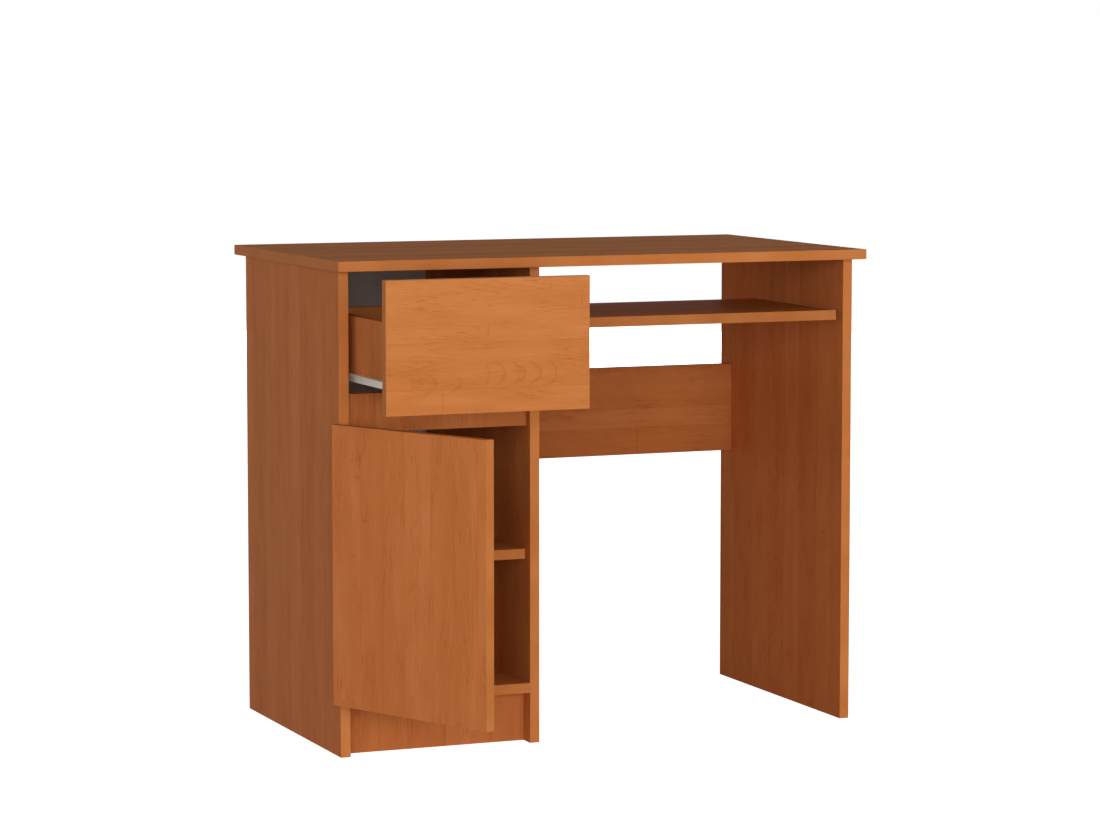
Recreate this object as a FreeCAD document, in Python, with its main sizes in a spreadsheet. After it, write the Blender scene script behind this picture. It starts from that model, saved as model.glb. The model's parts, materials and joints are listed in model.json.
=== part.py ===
"""Computer desk with a drawer, a cupboard and a sliding keyboard shelf, in millimetres.

The desk stands on its three upright boards and the plinth, on the plane Z = 0.
X runs to the right, the front faces -Y, and Z points up.
The drawer is modelled partly pulled out and the door partly open, as in daily use.
"""
import FreeCAD, Part
import os
import re

import Sketcher

doc = FreeCAD.newDocument("ComputerDesk")

# Driving sizes, one cell each: name, millimetres (or degrees), meaning.
SIZES = (
    ("desk_width", 900, "desk top, left to right"),
    ("desk_depth", 520, "desk top, front to back"),
    ("desk_height", 770, "floor to the upper face of the desk top"),
    ("origin_behind_front", 89, "from the uprights' front edges back to the origin"),
    ("board", 16, "thickness of the laminated boards"),
    ("hardboard", 3, "thickness of the hardboard sheets"),
    ("band", 0.8, "thickness of the edge banding"),
    ("band_round", 0.6, "rounding along the banded edges"),
    ("side_overhang", 10, "desk top past the outer uprights"),
    ("front_overhang", 30, "desk top past the uprights' front edges"),
    ("back_overhang", 30, "desk top past the uprights' back edges"),
    ("cupboard_width", 300, "clear width between left upright and partition"),
    ("plinth_height", 80, "floor to the bottom board"),
    ("plinth_setback", 28, "plinth behind the uprights' front edges"),
    ("rail_top_gap", 191, "desk top down to the rail between drawer and door"),
    ("rail_height", 60, "height of that rail"),
    ("rail_setback", 16, "rail behind the uprights' front edges"),
    ("shelf_setback", 18, "shelf behind the uprights' front edges"),
    ("shelf_end_play", 1, "gap at each end and at the back of the shelf"),
    ("modesty_top_gap", 204, "desk top down to the modesty panel"),
    ("modesty_height", 150, "height of the modesty panel"),
    ("modesty_inset", 25, "modesty panel in front of the uprights' back edges"),
    ("back_margin", 2, "hardboard back inside the cupboard's outline"),
    ("front_gap", 2.5, "between the fronts and the uprights' front edges"),
    ("front_side_gap", 2, "fronts inside the cupboard's outer width"),
    ("door_underside", 86, "floor to the door"),
    ("finger_gap", 29, "between the door and the drawer front"),
    ("door_open_angle", 65.5, "how far the door stands open, degrees"),
    ("drawer_front_height", 202, "height of the drawer front"),
    ("drawer_front_top_gap", 3, "between drawer front and desk top"),
    ("drawer_pull", 186.5, "how far the drawer stands out"),
    ("drawer_side_top_gap", 71, "desk top down to the drawer's sides"),
    ("drawer_side_height", 100, "height of the drawer's sides"),
    ("drawer_length", 400, "length of the drawer's sides and slides"),
    ("groove_height", 10, "drawer bottom's groove over the sides' lower edges"),
    ("groove_depth", 7, "depth of that groove"),
    ("groove_play", 0.2, "groove wider than the drawer bottom"),
    ("keyboard_top_gap", 83, "desk top down to the keyboard shelf"),
    ("keyboard_depth", 300, "keyboard shelf, front to back"),
    ("keyboard_slide_length", 250, "length of the keyboard shelf's slides"),
    ("keyboard_slide_setback", 30, "those slides behind the front edges"),
    ("drawer_slide_setback", 32, "drawer channels behind the front edges"),
    ("slide_gap", 12.5, "room for a slide beside a drawer or shelf"),
    ("slide_sheet", 1, "sheet thickness of channels and runners"),
    ("channel_flange", 9.5, "width of a channel's flanges"),
    ("runner_web", 12, "runner's height over the board's lower edge"),
    ("runner_foot", 11, "runner's reach under the board"),
    ("runner_lip", 9.5, "runner's lip over the roller"),
    ("lip_play", 0.6, "between the lip and the channel's upper flange"),
    ("roller_radius", 8.5, "drawer slides' rollers"),
    ("keyboard_runner_web", 13, "keyboard runner's height over the shelf's underside"),
    ("keyboard_roller_radius", 5, "keyboard slides' rollers, small enough to hide behind the shelf"),
    ("roller_width", 7, "slide rollers"),
    ("roller_play", 0.3, "between a roller and its track"),
    ("roller_end", 10, "roller axis from the end of its member"),
    ("channel_roller_inset", 2, "roller from the upright, on a channel"),
    ("runner_roller_inset", 2.7, "roller from the moving board, on a runner"),
    ("rivet_radius", 2.5, "rollers' rivets"),
    ("rivet_head_radius", 4, "rollers' rivets"),
    ("rivet_head", 1, "thickness of a rivet's head"),
    ("rivet_play", 0.3, "between roller and rivet head"),
    ("running_play", 0.06, "radial play of rollers and hinge knuckles"),
    ("fastener_play", 0.1, "radial play of dowels, fittings and screws"),
    ("bore_end_room", 0.5, "bores deeper than what they hold"),
    ("dowel_radius", 4, "wooden dowels"),
    ("dowel_length", 30, "wooden dowels"),
    ("dowel_in_face", 11, "dowel's depth in the face it stands on"),
    ("cam_radius", 7.5, "cam fittings"),
    ("cam_depth", 12.5, "cam fittings"),
    ("cam_distance", 24, "cam's axis from the end of its board"),
    ("bolt_radius", 3.2, "cam bolt's shank"),
    ("bolt_thread_radius", 2.5, "cam bolt's threaded end"),
    ("bolt_thread_length", 10.5, "cam bolt's threaded end"),
    ("screw_radius", 1.6, "hinge and slide screws"),
    ("screw_length", 12, "hinge and slide screws"),
    ("screw_head_radius", 3.2, "hinge and slide screws"),
    ("screw_head", 0.6, "depth of the sunk flat head"),
    ("slide_screw_end", 45, "slide screws from the ends of a slide"),
    ("slide_screw_height", 6, "slide screws over the board's lower edge"),
    ("shelf_pin_radius", 2.5, "shelf pins"),
    ("shelf_pin_length", 16, "shelf pins, half of it in the board"),
    ("shelf_pin_inset", 50, "shelf pins from the shelf's edges"),
    ("pin_seat_play", 0.1, "between a shelf pin and the shelf"),
    ("hinge_height", 60, "door hinges"),
    ("hinge_inset", 50, "hinges from the door's ends"),
    ("leaf", 1.2, "thickness of a hinge leaf"),
    ("leaf_width", 17.5, "hinge leaf from its pin"),
    ("knuckle_radius", 2.6, "hinge knuckle"),
    ("knuckle_end", 18, "each of the two outer knuckles"),
    ("knuckle_play", 0.25, "between knuckles, and round them"),
    ("hinge_pin_radius", 1.5, "hinge pin"),
    ("hinge_pin_outside", 3, "pin outside the left upright's face"),
    ("leaf_screw_inset", 11, "hinge screws from the pin"),
    ("leaf_screw_end", 12, "hinge screws from the leaf's ends"),
    ("joint_inset", 70, "fastenings from the uprights' front and back edges"),
    ("dowel_beside_cam", 40, "a dowel from the cam fitting beside it"),
    ("plinth_dowel_drop", 40, "plinth's dowels under the bottom board"),
    ("drawer_dowel_inset", 26, "dowels from the drawer sides' edges"),
)

# Places and lengths that follow from the driving sizes.
PLACES = {
    "left_x": "-desk_width / 2 + side_overhang",
    "right_x": "desk_width / 2 - side_overhang",
    "front_y": "-origin_behind_front",
    "panel_depth": "desk_depth - front_overhang - back_overhang",
    "panel_height": "desk_height - board",
    "back_y": "front_y + panel_depth",
    "cupboard_left": "left_x + board",
    "partition_x": "cupboard_left + cupboard_width",
    "kneehole_left": "partition_x + board",
    "kneehole_right": "right_x - board",
    "kneehole_width": "kneehole_right - kneehole_left",
    "bottom_top": "plinth_height + board",
    "rail_y": "front_y + rail_setback",
    "rail_underside": "panel_height - rail_top_gap - rail_height",
    "shelf_underside": "(bottom_top + rail_underside - board) / 2",
    "modesty_underside": "panel_height - modesty_top_gap - modesty_height",
    "drawer_front_underside": "panel_height - drawer_front_top_gap - drawer_front_height",
    "drawer_side_underside": "panel_height - drawer_side_top_gap - drawer_side_height",
    "keyboard_underside": "panel_height - keyboard_top_gap - board",
    "door_height": "drawer_front_underside - finger_gap - door_underside",
    "shelf_y": "front_y + shelf_setback",
    "shelf_depth": "back_y - shelf_end_play - shelf_y",
    "modesty_y": "back_y - modesty_inset - board",
    "front_x": "left_x + front_side_gap",
    "front_width": "cupboard_width + 2 * board - 2 * front_side_gap",
    "closed_y": "front_y - front_gap",
    "drawer_y": "closed_y - drawer_pull",
    "drawer_left": "cupboard_left + slide_gap",
    "drawer_right": "partition_x - slide_gap",
    "drawer_inner_left": "drawer_left + board",
    "drawer_inner_right": "drawer_right - board",
    "drawer_end_y": "drawer_y + drawer_length",
    "groove_z": "drawer_side_underside + groove_height",
    "keyboard_left": "kneehole_left + slide_gap",
    "keyboard_right": "kneehole_right - slide_gap",
    "pin_x": "left_x - hinge_pin_outside",
    "pin_y": "front_y - front_gap / 2",
    "roller_axis": "runner_web - slide_sheet - roller_play - roller_radius",
    "channel_floor": "roller_axis - roller_radius - roller_play",
    "channel_roof": "runner_web + lip_play",
    "keyboard_roller_axis": "keyboard_runner_web - slide_sheet - roller_play - keyboard_roller_radius",
    "keyboard_channel_floor": "keyboard_roller_axis - keyboard_roller_radius - roller_play",
    "keyboard_channel_roof": "keyboard_runner_web + lip_play",
}

DIRECTIONS = {
    "+x": FreeCAD.Vector(1, 0, 0),
    "-x": FreeCAD.Vector(-1, 0, 0),
    "+y": FreeCAD.Vector(0, 1, 0),
    "-y": FreeCAD.Vector(0, -1, 0),
    "+z": FreeCAD.Vector(0, 0, 1),
    "-z": FreeCAD.Vector(0, 0, -1),
}

# Dowels, fittings, screws and their bores repeat often, so they have few sides.
FASTENER_SIDES = 8

nodes = []


def make_sheet():
    """Writes the driving sizes into a spreadsheet with one alias each."""
    sheet = doc.addObject("Spreadsheet::Sheet", "Sizes")
    for row, (name, number, meaning) in enumerate(SIZES, start=1):
        sheet.set(f"A{row}", meaning)
        sheet.set(f"B{row}", str(number))
        sheet.setAlias(f"B{row}", name)
    doc.recompute()
    return sheet


sizes_sheet = make_sheet()
size_names = {name for name, number, meaning in SIZES}


def size(name):
    """A driving size as a number."""
    return float(sizes_sheet.get(name))


def formula(text):
    """Writes a formula of plain size names as an expression on the sheet."""
    def swap(match):
        word = match.group(0)
        if word in PLACES:
            return f"({formula(PLACES[word])})"
        return f"Sizes.{word}" if word in size_names else word
    return re.sub(r"[a-z][a-z_]*", swap, text)


def bind(thing, prop, text):
    thing.setExpression(prop, formula(text))


def place(thing, at, direction="+z"):
    """Turns the thing's own Z to a direction and binds its position."""
    turn = FreeCAD.Rotation(DIRECTIONS["+z"], DIRECTIONS[direction])
    thing.Placement = FreeCAD.Placement(FreeCAD.Vector(), turn)
    for axis, text in zip("xyz", at):
        bind(thing, f"Placement.Base.{axis}", text)
    return thing


def along(direction, point, distance):
    """The point moved by a distance along a direction, as formulas."""
    sign, axis = direction
    return tuple(f"({p}) {sign} ({distance})" if a == axis else p for a, p in zip("xyz", point))


def opposite(direction):
    return ("-" if direction[0] == "+" else "+") + direction[1]


def box(name, at, extent):
    solid = doc.addObject("Part::Box", name)
    for prop, text in zip(("Length", "Width", "Height"), extent):
        bind(solid, prop, text)
    return place(solid, at)


def rod(name, radius, length, start, direction):
    solid = doc.addObject("Part::Cylinder", name)
    bind(solid, "Radius", radius)
    bind(solid, "Height", length)
    return place(solid, start, direction)


def stud(name, radius, length, start, direction):
    """A fluted dowel, fitting, shank or bore, as a prism of few sides."""
    solid = doc.addObject("Part::Prism", name)
    solid.Polygon = FASTENER_SIDES
    bind(solid, "Circumradius", radius)
    bind(solid, "Height", length)
    return place(solid, start, direction)


def fuse(name, shapes):
    if len(shapes) == 1:
        return shapes[0]
    solid = doc.addObject("Part::MultiFuse", name)
    solid.Shapes = shapes
    return solid


def cut(name, base, tools):
    solid = doc.addObject("Part::Cut", name)
    solid.Base = base
    solid.Tool = fuse(f"{name}_tools", tools)
    return solid


def group(name, solids):
    several = doc.addObject("Part::Compound", name)
    several.Links = solids
    return several


def rounded(name, base, picks):
    """Rounds the edges of a strip or frame of banding that picks() chooses."""
    doc.recompute()
    radius = size("band_round")
    solid = doc.addObject("Part::Fillet", name)
    solid.Base = base
    solid.Edges = [(i, radius, radius) for i, e in enumerate(base.Shape.Edges, 1) if picks(base.Shape, e)]
    return solid


def sides_touched(shape, edge):
    """The sides of the shape's bounding box that an edge lies in, such as -y."""
    whole, part, tiny = shape.BoundBox, edge.BoundBox, size("band") / 100
    touched = set()
    for axis in "XYZ":
        low, high = getattr(part, f"{axis}Min"), getattr(part, f"{axis}Max")
        if high < getattr(whole, f"{axis}Min") + tiny:
            touched.add(f"-{axis.lower()}")
        if low > getattr(whole, f"{axis}Max") - tiny:
            touched.add(f"+{axis.lower()}")
    return touched


def on_frame_outside(shape, edge):
    return len(sides_touched(shape, edge)) >= 2 and edge.Length > 2 * size("board")


def on_strip_front(shape, edge):
    return "-y" in sides_touched(shape, edge) and edge.Length > 2 * size("board")


def node(thing, label):
    """Keeps a finished sub-part under its own name."""
    thing.Label = label
    nodes.append(thing)
    return thing


def polygon(body, outline):
    """A closed sketch on the body's XZ plane whose corners follow formulas."""
    sketch = body.newObject("Sketcher::SketchObject", f"{body.Name}_outline")
    plane = next(f for f in body.Origin.OriginFeatures if f.Role == "XZ_Plane")
    sketch.AttachmentSupport = [(plane, "")]
    sketch.MapMode = "FlatFace"
    count = len(outline)
    ring = Part.makeCircle(count).discretize(count + 1)
    for first, second in zip(ring, ring[1:]):
        sketch.addGeometry(Part.LineSegment(first, second), False)
    for i in range(count):
        sketch.addConstraint(Sketcher.Constraint("Coincident", i, 2, (i + 1) % count, 1))
    for i, corner in enumerate(outline):
        for kind, text, start in zip(("DistanceX", "DistanceY"), corner, ring[i]):
            index = sketch.addConstraint(Sketcher.Constraint(kind, -1, 1, i, 1, start))
            bind(sketch, f"Constraints[{index}]", text)
    return sketch


def profile_bar(name, outline, length, at):
    """A bent sheet: an outline in X and Z, drawn out along +Y."""
    body = doc.addObject("PartDesign::Body", name)
    pad = body.newObject("PartDesign::Pad", f"{name}_pad")
    pad.Profile = polygon(body, outline)
    pad.Reversed = True
    bind(pad, "Length", length)
    body.Tip = pad
    return place(body, at)


def turned(name, outline, start, direction):
    """A round piece: an outline of radius and height, turned about its own Z."""
    body = doc.addObject("PartDesign::Body", name)
    spin = body.newObject("PartDesign::Revolution", f"{name}_turn")
    sketch = polygon(body, outline)
    spin.Profile = sketch
    spin.ReferenceAxis = (sketch, ["V_Axis"])
    spin.Angle = 360
    body.Tip = spin
    return place(body, start, direction)


# Fasteners: each makes its solid and the bore that takes it.


class Fastening:
    """Collects the solids of one kind of fastener and their bores."""

    def __init__(self, name):
        self.name = name
        self.solids = []
        self.bores = []

    def next_name(self):
        return f"{self.name}_{len(self.solids) + 1}"


def add_dowel(dowels, joint, direction):
    """A dowel from one board's face, at the joint, into the end of another."""
    name = dowels.next_name()
    start = along(opposite(direction), joint, "dowel_in_face")
    dowels.solids.append(stud(name, "dowel_radius", "dowel_length", start, direction))
    bore_start = along(opposite(direction), start, "bore_end_room")
    bore = stud(f"{name}_bore", "dowel_radius + fastener_play", "dowel_length + 2 * bore_end_room",
                bore_start, direction)
    dowels.bores.append(bore)


def add_cam(bolts, cams, joint, direction, cam_start, cam_direction):
    """A bolt in one board's face and the cam that draws another board's end to it."""
    name = bolts.next_name()
    back = opposite(direction)
    shank = stud(f"{name}_shank", "bolt_radius", "cam_distance", joint, direction)
    thread = stud(f"{name}_thread", "bolt_thread_radius", "bolt_thread_length", joint, back)
    bolts.solids.append(fuse(name, [shank, thread]))
    shank_bore = stud(f"{name}_shank_bore", "bolt_radius + fastener_play",
                      "cam_distance + bore_end_room", joint, direction)
    thread_bore = stud(f"{name}_thread_bore", "bolt_thread_radius + fastener_play",
                       "bolt_thread_length + bore_end_room", joint, back)
    centre = along(direction, cam_start, "cam_distance")
    cam = rod(f"{name}_cam_blank", "cam_radius - fastener_play", "cam_depth", centre, cam_direction)
    cams.solids.append(cut(f"{name}_cam", cam, [shank_bore]))
    cam_bore = rod(f"{name}_cam_bore", "cam_radius", "cam_depth", centre, cam_direction)
    bolts.bores.extend([shank_bore, thread_bore, cam_bore])


def flat_screw(name, point, direction, play):
    """A flat-headed screw, its head sunk flush at the point."""
    head = stud(f"{name}_head", f"screw_head_radius + {play}", f"screw_head + {play}", point, direction)
    shank = stud(f"{name}_shank", f"screw_radius + {play}", f"screw_length + {play}", point, direction)
    return fuse(name, [head, shank])


def add_screw(screws, point, direction):
    name = screws.next_name()
    screws.solids.append(flat_screw(name, point, direction, "0"))
    screws.bores.append(flat_screw(f"{name}_bore", point, direction, "fastener_play"))


def make_carcass_fasteners():
    """Dowels and cam fittings that hold the fixed boards together."""
    dowels, bolts, cams = Fastening("dowel"), Fastening("bolt"), Fastening("cam")
    front_joint, back_joint = "front_y + joint_inset", "back_y - joint_inset"
    uprights = ("left_x + board / 2", "partition_x + board / 2", "right_x - board / 2")
    inward = ("front_y + joint_inset + dowel_beside_cam", "back_y - joint_inset - dowel_beside_cam")
    for x in uprights:
        for y in inward:
            add_dowel(dowels, (x, y, "panel_height"), "-z")
    for y in (front_joint, back_joint):
        top_joint = ("left_x + board / 2", y, "panel_height")
        add_cam(bolts, cams, top_joint, "-z", ("cupboard_left", y, "panel_height"), "-x")
        top_joint = ("partition_x + board / 2", y, "panel_height")
        add_cam(bolts, cams, top_joint, "-z", ("kneehole_left", y, "panel_height"), "-x")
    for x, direction in (("cupboard_left", "+x"), ("partition_x", "-x")):
        for y in (front_joint, back_joint):
            bottom_joint = (x, y, "plinth_height + board / 2")
            add_cam(bolts, cams, bottom_joint, direction, (x, y, "plinth_height"), "+z")
        for y in inward:
            add_dowel(dowels, (x, y, "plinth_height + board / 2"), direction)
        plinth_joint = (x, "front_y + plinth_setback + board / 2", "plinth_height - plinth_dowel_drop")
        add_dowel(dowels, plinth_joint, direction)
        rail_low, rail_high = "rail_underside + rail_height / 4", "rail_underside + 3 * rail_height / 4"
        add_dowel(dowels, (x, "rail_y + board / 2", rail_high), direction)
        rail_joint = (x, "rail_y + board / 2", rail_low)
        add_cam(bolts, cams, rail_joint, direction, (x, "rail_y + board", rail_low), "-y")
    for x, direction in (("kneehole_left", "+x"), ("kneehole_right", "-x")):
        low, high = "modesty_underside + modesty_height / 4", "modesty_underside + 3 * modesty_height / 4"
        add_dowel(dowels, (x, "modesty_y + board / 2", high), direction)
        modesty_joint = (x, "modesty_y + board / 2", low)
        add_cam(bolts, cams, modesty_joint, direction, (x, "modesty_y + board", low), "-y")
    node(group("panel_dowels", dowels.solids), "panel_dowels")
    node(group("cam_bolts", bolts.solids), "cam_bolts")
    node(group("cam_fittings", cams.solids), "cam_fittings")
    return dowels.bores + bolts.bores


def make_shelf_pins():
    """Four pins under the cupboard shelf, half their length in the uprights."""
    pins = Fastening("shelf_pin")
    height = "shelf_underside - shelf_pin_radius - pin_seat_play"
    for y in ("shelf_y + shelf_pin_inset", "back_y - shelf_pin_inset"):
        for x, direction in (("cupboard_left", "+x"), ("partition_x", "-x")):
            start = along(opposite(direction), (x, y, height), "shelf_pin_length / 2")
            name = pins.next_name()
            pins.solids.append(rod(name, "shelf_pin_radius", "shelf_pin_length", start, direction))
            bore_start = along(opposite(direction), start, "bore_end_room")
            bore = rod(f"{name}_bore", "shelf_pin_radius + fastener_play", "shelf_pin_length",
                       bore_start, direction)
            pins.bores.append(bore)
    node(group("shelf_pins", pins.solids), "shelf_pins")
    return pins.bores


# Door hinges: two butt hinges with their pins just outside the left upright.


def hinge_screw_points(x, y, z):
    """Two screws in one leaf that starts at height z."""
    return [(x, y, f"{z} + leaf_screw_end"), (x, y, f"{z} + hinge_height - leaf_screw_end")]


def make_leaf(name, y, z, knuckles, gaps, screw_bores):
    """A leaf with its knuckles, and room for the knuckles of the other leaf."""
    flat = box(f"{name}_flat", ("pin_x", y, z), ("leaf_width", "leaf", "hinge_height"))
    solids = [flat]
    for i, (low, high) in enumerate(knuckles):
        solids.append(rod(f"{name}_knuckle_{i}", "knuckle_radius", f"{high} - ({low})",
                          ("pin_x", "pin_y", f"{z} + {low}"), "+z"))
    tools = [rod(f"{name}_eye", "hinge_pin_radius + running_play", "hinge_height",
                 ("pin_x", "pin_y", z), "+z")]
    for i, (low, high) in enumerate(gaps):
        tools.append(rod(f"{name}_gap_{i}", "knuckle_radius + knuckle_play", f"{high} - ({low})",
                         ("pin_x", "pin_y", f"{z} + {low}"), "+z"))
    return cut(name, fuse(f"{name}_blank", solids), tools + screw_bores)


def make_hinges():
    """Both hinges; returns the screws on the upright and on the closed door."""
    upright_screws, door_screws = Fastening("hinge_upright_screw"), Fastening("hinge_door_screw")
    heights = {
        "upper": "door_underside + door_height - hinge_inset - hinge_height",
        "lower": "door_underside + hinge_inset",
    }
    ends = [("0", "knuckle_end"), ("hinge_height - knuckle_end", "hinge_height")]
    middle = ("knuckle_end", "hinge_height - knuckle_end")
    middle_knuckle = ("knuckle_end + knuckle_play", "hinge_height - knuckle_end - knuckle_play")
    screw_x = "pin_x + leaf_screw_inset"
    door_leaves = []
    for where, z in heights.items():
        first_bore = len(upright_screws.bores)
        for point in hinge_screw_points(screw_x, "front_y - leaf", z):
            add_screw(upright_screws, point, "+y")
        bores = upright_screws.bores[first_bore:]
        name = f"hinge_leaf_upright_{where}"
        node(make_leaf(name, "front_y - leaf", z, ends, [middle], bores), name)
        first_bore = len(door_screws.bores)
        for point in hinge_screw_points(screw_x, "closed_y + leaf", z):
            add_screw(door_screws, point, "-y")
        bores = door_screws.bores[first_bore:]
        name = f"hinge_leaf_door_{where}"
        leaf = make_leaf(name, "closed_y", z, [middle_knuckle], ends, bores)
        door_leaves.append(node(leaf, name))
        name = f"hinge_pin_{where}"
        node(rod(name, "hinge_pin_radius", "hinge_height", ("pin_x", "pin_y", z), "+z"), name)
    node(group("hinge_screws_upright", upright_screws.solids), "hinge_screws_upright")
    screws = node(group("hinge_screws_door", door_screws.solids), "hinge_screws_door")
    return upright_screws.bores, door_screws.bores, door_leaves + [screws]


# Roller slides: a channel on the upright, a runner on what slides, two rollers each side.


def mirrored(outline, side):
    return [(f"{side} * ({x})", z) for x, z in outline]


def channel_outline(floor, roof):
    """A channel open towards the sliding board, from the upright's face."""
    return [
        ("0", f"{floor} - slide_sheet"),
        ("channel_flange", f"{floor} - slide_sheet"),
        ("channel_flange", floor),
        ("slide_sheet", floor),
        ("slide_sheet", roof),
        ("channel_flange", roof),
        ("channel_flange", f"{roof} + slide_sheet"),
        ("0", f"{roof} + slide_sheet"),
    ]


def runner_outline(web):
    """A runner round the sliding board's lower edge, its lip over the roller."""
    return [
        ("runner_foot", "-slide_sheet"),
        ("runner_foot", "0"),
        ("0", "0"),
        ("0", web),
        ("-runner_lip", web),
        ("-runner_lip", f"{web} - slide_sheet"),
        ("-slide_sheet", f"{web} - slide_sheet"),
        ("-slide_sheet", "-slide_sheet"),
    ]


def make_roller(name, radius, start, direction):
    outline = [
        ("rivet_radius + running_play", "0"),
        (radius, "0"),
        (radius, "roller_width"),
        ("rivet_radius + running_play", "roller_width"),
    ]
    node(turned(name, outline, start, direction), name)


def make_rivet(name, inset, start, direction):
    """A headed rivet from the sheet's back face through the roller."""
    reach = f"{inset} + roller_width + rivet_play"
    outline = [
        ("0", "0"),
        ("rivet_radius", "0"),
        ("rivet_radius", reach),
        ("rivet_head_radius", reach),
        ("rivet_head_radius", f"{reach} + rivet_head"),
        ("0", f"{reach} + rivet_head"),
    ]
    return turned(name, outline, start, direction)


class Slide:
    """One pair of roller slides and the fasteners that go with it."""

    def __init__(self, name, gauge, uprights, boards, underside, channel_y, runner_y, length):
        self.name = name
        self.gauge = gauge
        self.uprights = uprights
        self.boards = boards
        self.underside = underside
        self.channel_y = channel_y
        self.runner_y = runner_y
        self.length = length

    def screw_places(self, start_y):
        return (f"{start_y} + slide_screw_end", f"{start_y} + {self.length} - slide_screw_end")

    def make_member(self, kind, hand, outline, side, x, y, screws, rivets):
        """A channel or runner with its roller, rivet and screws."""
        is_channel = kind == "channel"
        name = f"{self.name}_{kind}_{hand}"
        outward = "+x" if (side > 0) == is_channel else "-x"
        bar = profile_bar(f"{name}_sheet", mirrored(outline, side), self.length, (x, y, self.underside))
        axis_y = f"{y} + roller_end" if is_channel else f"{y} + {self.length} - roller_end"
        axis = (x, axis_y, f"{self.underside} + {self.gauge}roller_axis")
        hole = rod(f"{name}_rivet_hole", "rivet_radius + fastener_play", "slide_sheet", axis, outward)
        first_bore = len(screws.bores)
        for screw_y in self.screw_places(y):
            head = along(outward, (x, screw_y, f"{self.underside} + slide_screw_height"), "slide_sheet")
            add_screw(screws, head, opposite(outward))
        node(cut(name, bar, [hole] + screws.bores[first_bore:]), name)
        inset = "channel_roller_inset" if is_channel else "runner_roller_inset"
        end = "front" if is_channel else "rear"
        make_roller(f"{self.name}_{end}_roller_{hand}", f"{self.gauge}roller_radius",
                    along(outward, axis, inset), outward)
        rivets.solids.append(make_rivet(f"{name}_rivet", inset, axis, outward))

    def make(self, channel_screws, channel_rivets):
        """Both sides; returns the bores of the runners' screws."""
        runner_screws = Fastening(f"{self.name}_runner_screw")
        runner_rivets = Fastening(f"{self.name}_runner_rivet")
        channel = channel_outline(f"{self.gauge}channel_floor", f"{self.gauge}channel_roof")
        runner = runner_outline(f"{self.gauge}runner_web")
        for hand, side in (("left", 1), ("right", -1)):
            self.make_member("channel", hand, channel, side, self.uprights[hand],
                             self.channel_y, channel_screws, channel_rivets)
            self.make_member("runner", hand, runner, side, self.boards[hand],
                             self.runner_y, runner_screws, runner_rivets)
        for fastening, label in ((runner_screws, "screws"), (runner_rivets, "rivets")):
            name = f"{self.name}_runner_{label}"
            node(group(name, fastening.solids), name)
        return runner_screws.bores


def make_slides():
    """The drawer's and the keyboard shelf's slides."""
    channel_screws, channel_rivets = Fastening("channel_screw"), Fastening("channel_rivet")
    drawer = Slide("drawer", "", {"left": "cupboard_left", "right": "partition_x"},
                   {"left": "drawer_left", "right": "drawer_right"}, "drawer_side_underside",
                   "front_y + drawer_slide_setback", "drawer_y", "drawer_length")
    keyboard = Slide("keyboard", "keyboard_", {"left": "kneehole_left", "right": "kneehole_right"},
                     {"left": "keyboard_left", "right": "keyboard_right"}, "keyboard_underside",
                     "front_y + keyboard_slide_setback", "front_y + keyboard_slide_setback",
                     "keyboard_slide_length")
    drawer_bores = drawer.make(channel_screws, channel_rivets)
    keyboard_bores = keyboard.make(channel_screws, channel_rivets)
    node(group("channel_screws", channel_screws.solids), "channel_screws")
    node(group("channel_rivets", channel_rivets.solids), "channel_rivets")
    return channel_screws.bores, drawer_bores, keyboard_bores


# Boards and their edge banding.


def banded_frame(name, at, extent, thin):
    """Banding round a board's four edges; thin is the axis across the board."""
    outer = box(f"{name}_outer", at, extent)
    inner_at = tuple(p if a == thin else f"{p} + band" for a, p in zip("xyz", at))
    inner_extent = tuple(e if a == thin else f"{e} - 2 * band" for a, e in zip("xyz", extent))
    inner = box(f"{name}_inner", inner_at, inner_extent)
    core = box(f"{name}_core", inner_at, inner_extent)
    return rounded(f"{name}_band", cut(f"{name}_ring", outer, [inner]), on_frame_outside), core


def banded_front(name, at, extent):
    """A board with banding on its front edge: the strip and the core behind it."""
    strip = box(f"{name}_strip", at, (extent[0], "band", extent[2]))
    core_at = (at[0], f"{at[1]} + band", at[2])
    core = box(f"{name}_core", core_at, (extent[0], f"{extent[1]} - band", extent[2]))
    return rounded(f"{name}_band", strip, on_strip_front), core


def make_top(bores):
    at = ("-desk_width / 2", "front_y - front_overhang", "panel_height")
    frame, core = banded_frame("top", at, ("desk_width", "desk_depth", "board"), "z")
    node(cut("desk_top", core, bores), "desk_top")
    node(frame, "desk_top_edging")


def make_uprights(bores, hinge_bores):
    """The left side, the partition and the right side, banded in front."""
    strips = []
    for label, x in (("left_side_panel", "left_x"), ("partition_panel", "partition_x"),
                     ("right_side_panel", "kneehole_right")):
        strip, core = banded_front(label, (x, "front_y", "0"), ("board", "panel_depth", "panel_height"))
        hinged = label == "left_side_panel"
        node(cut(f"{label}_drilled", core, bores + hinge_bores if hinged else bores), label)
        strips.append(cut(f"{label}_strip_drilled", strip, hinge_bores) if hinged else strip)
    node(group("side_panel_edging", strips), "side_panel_edging")


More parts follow.
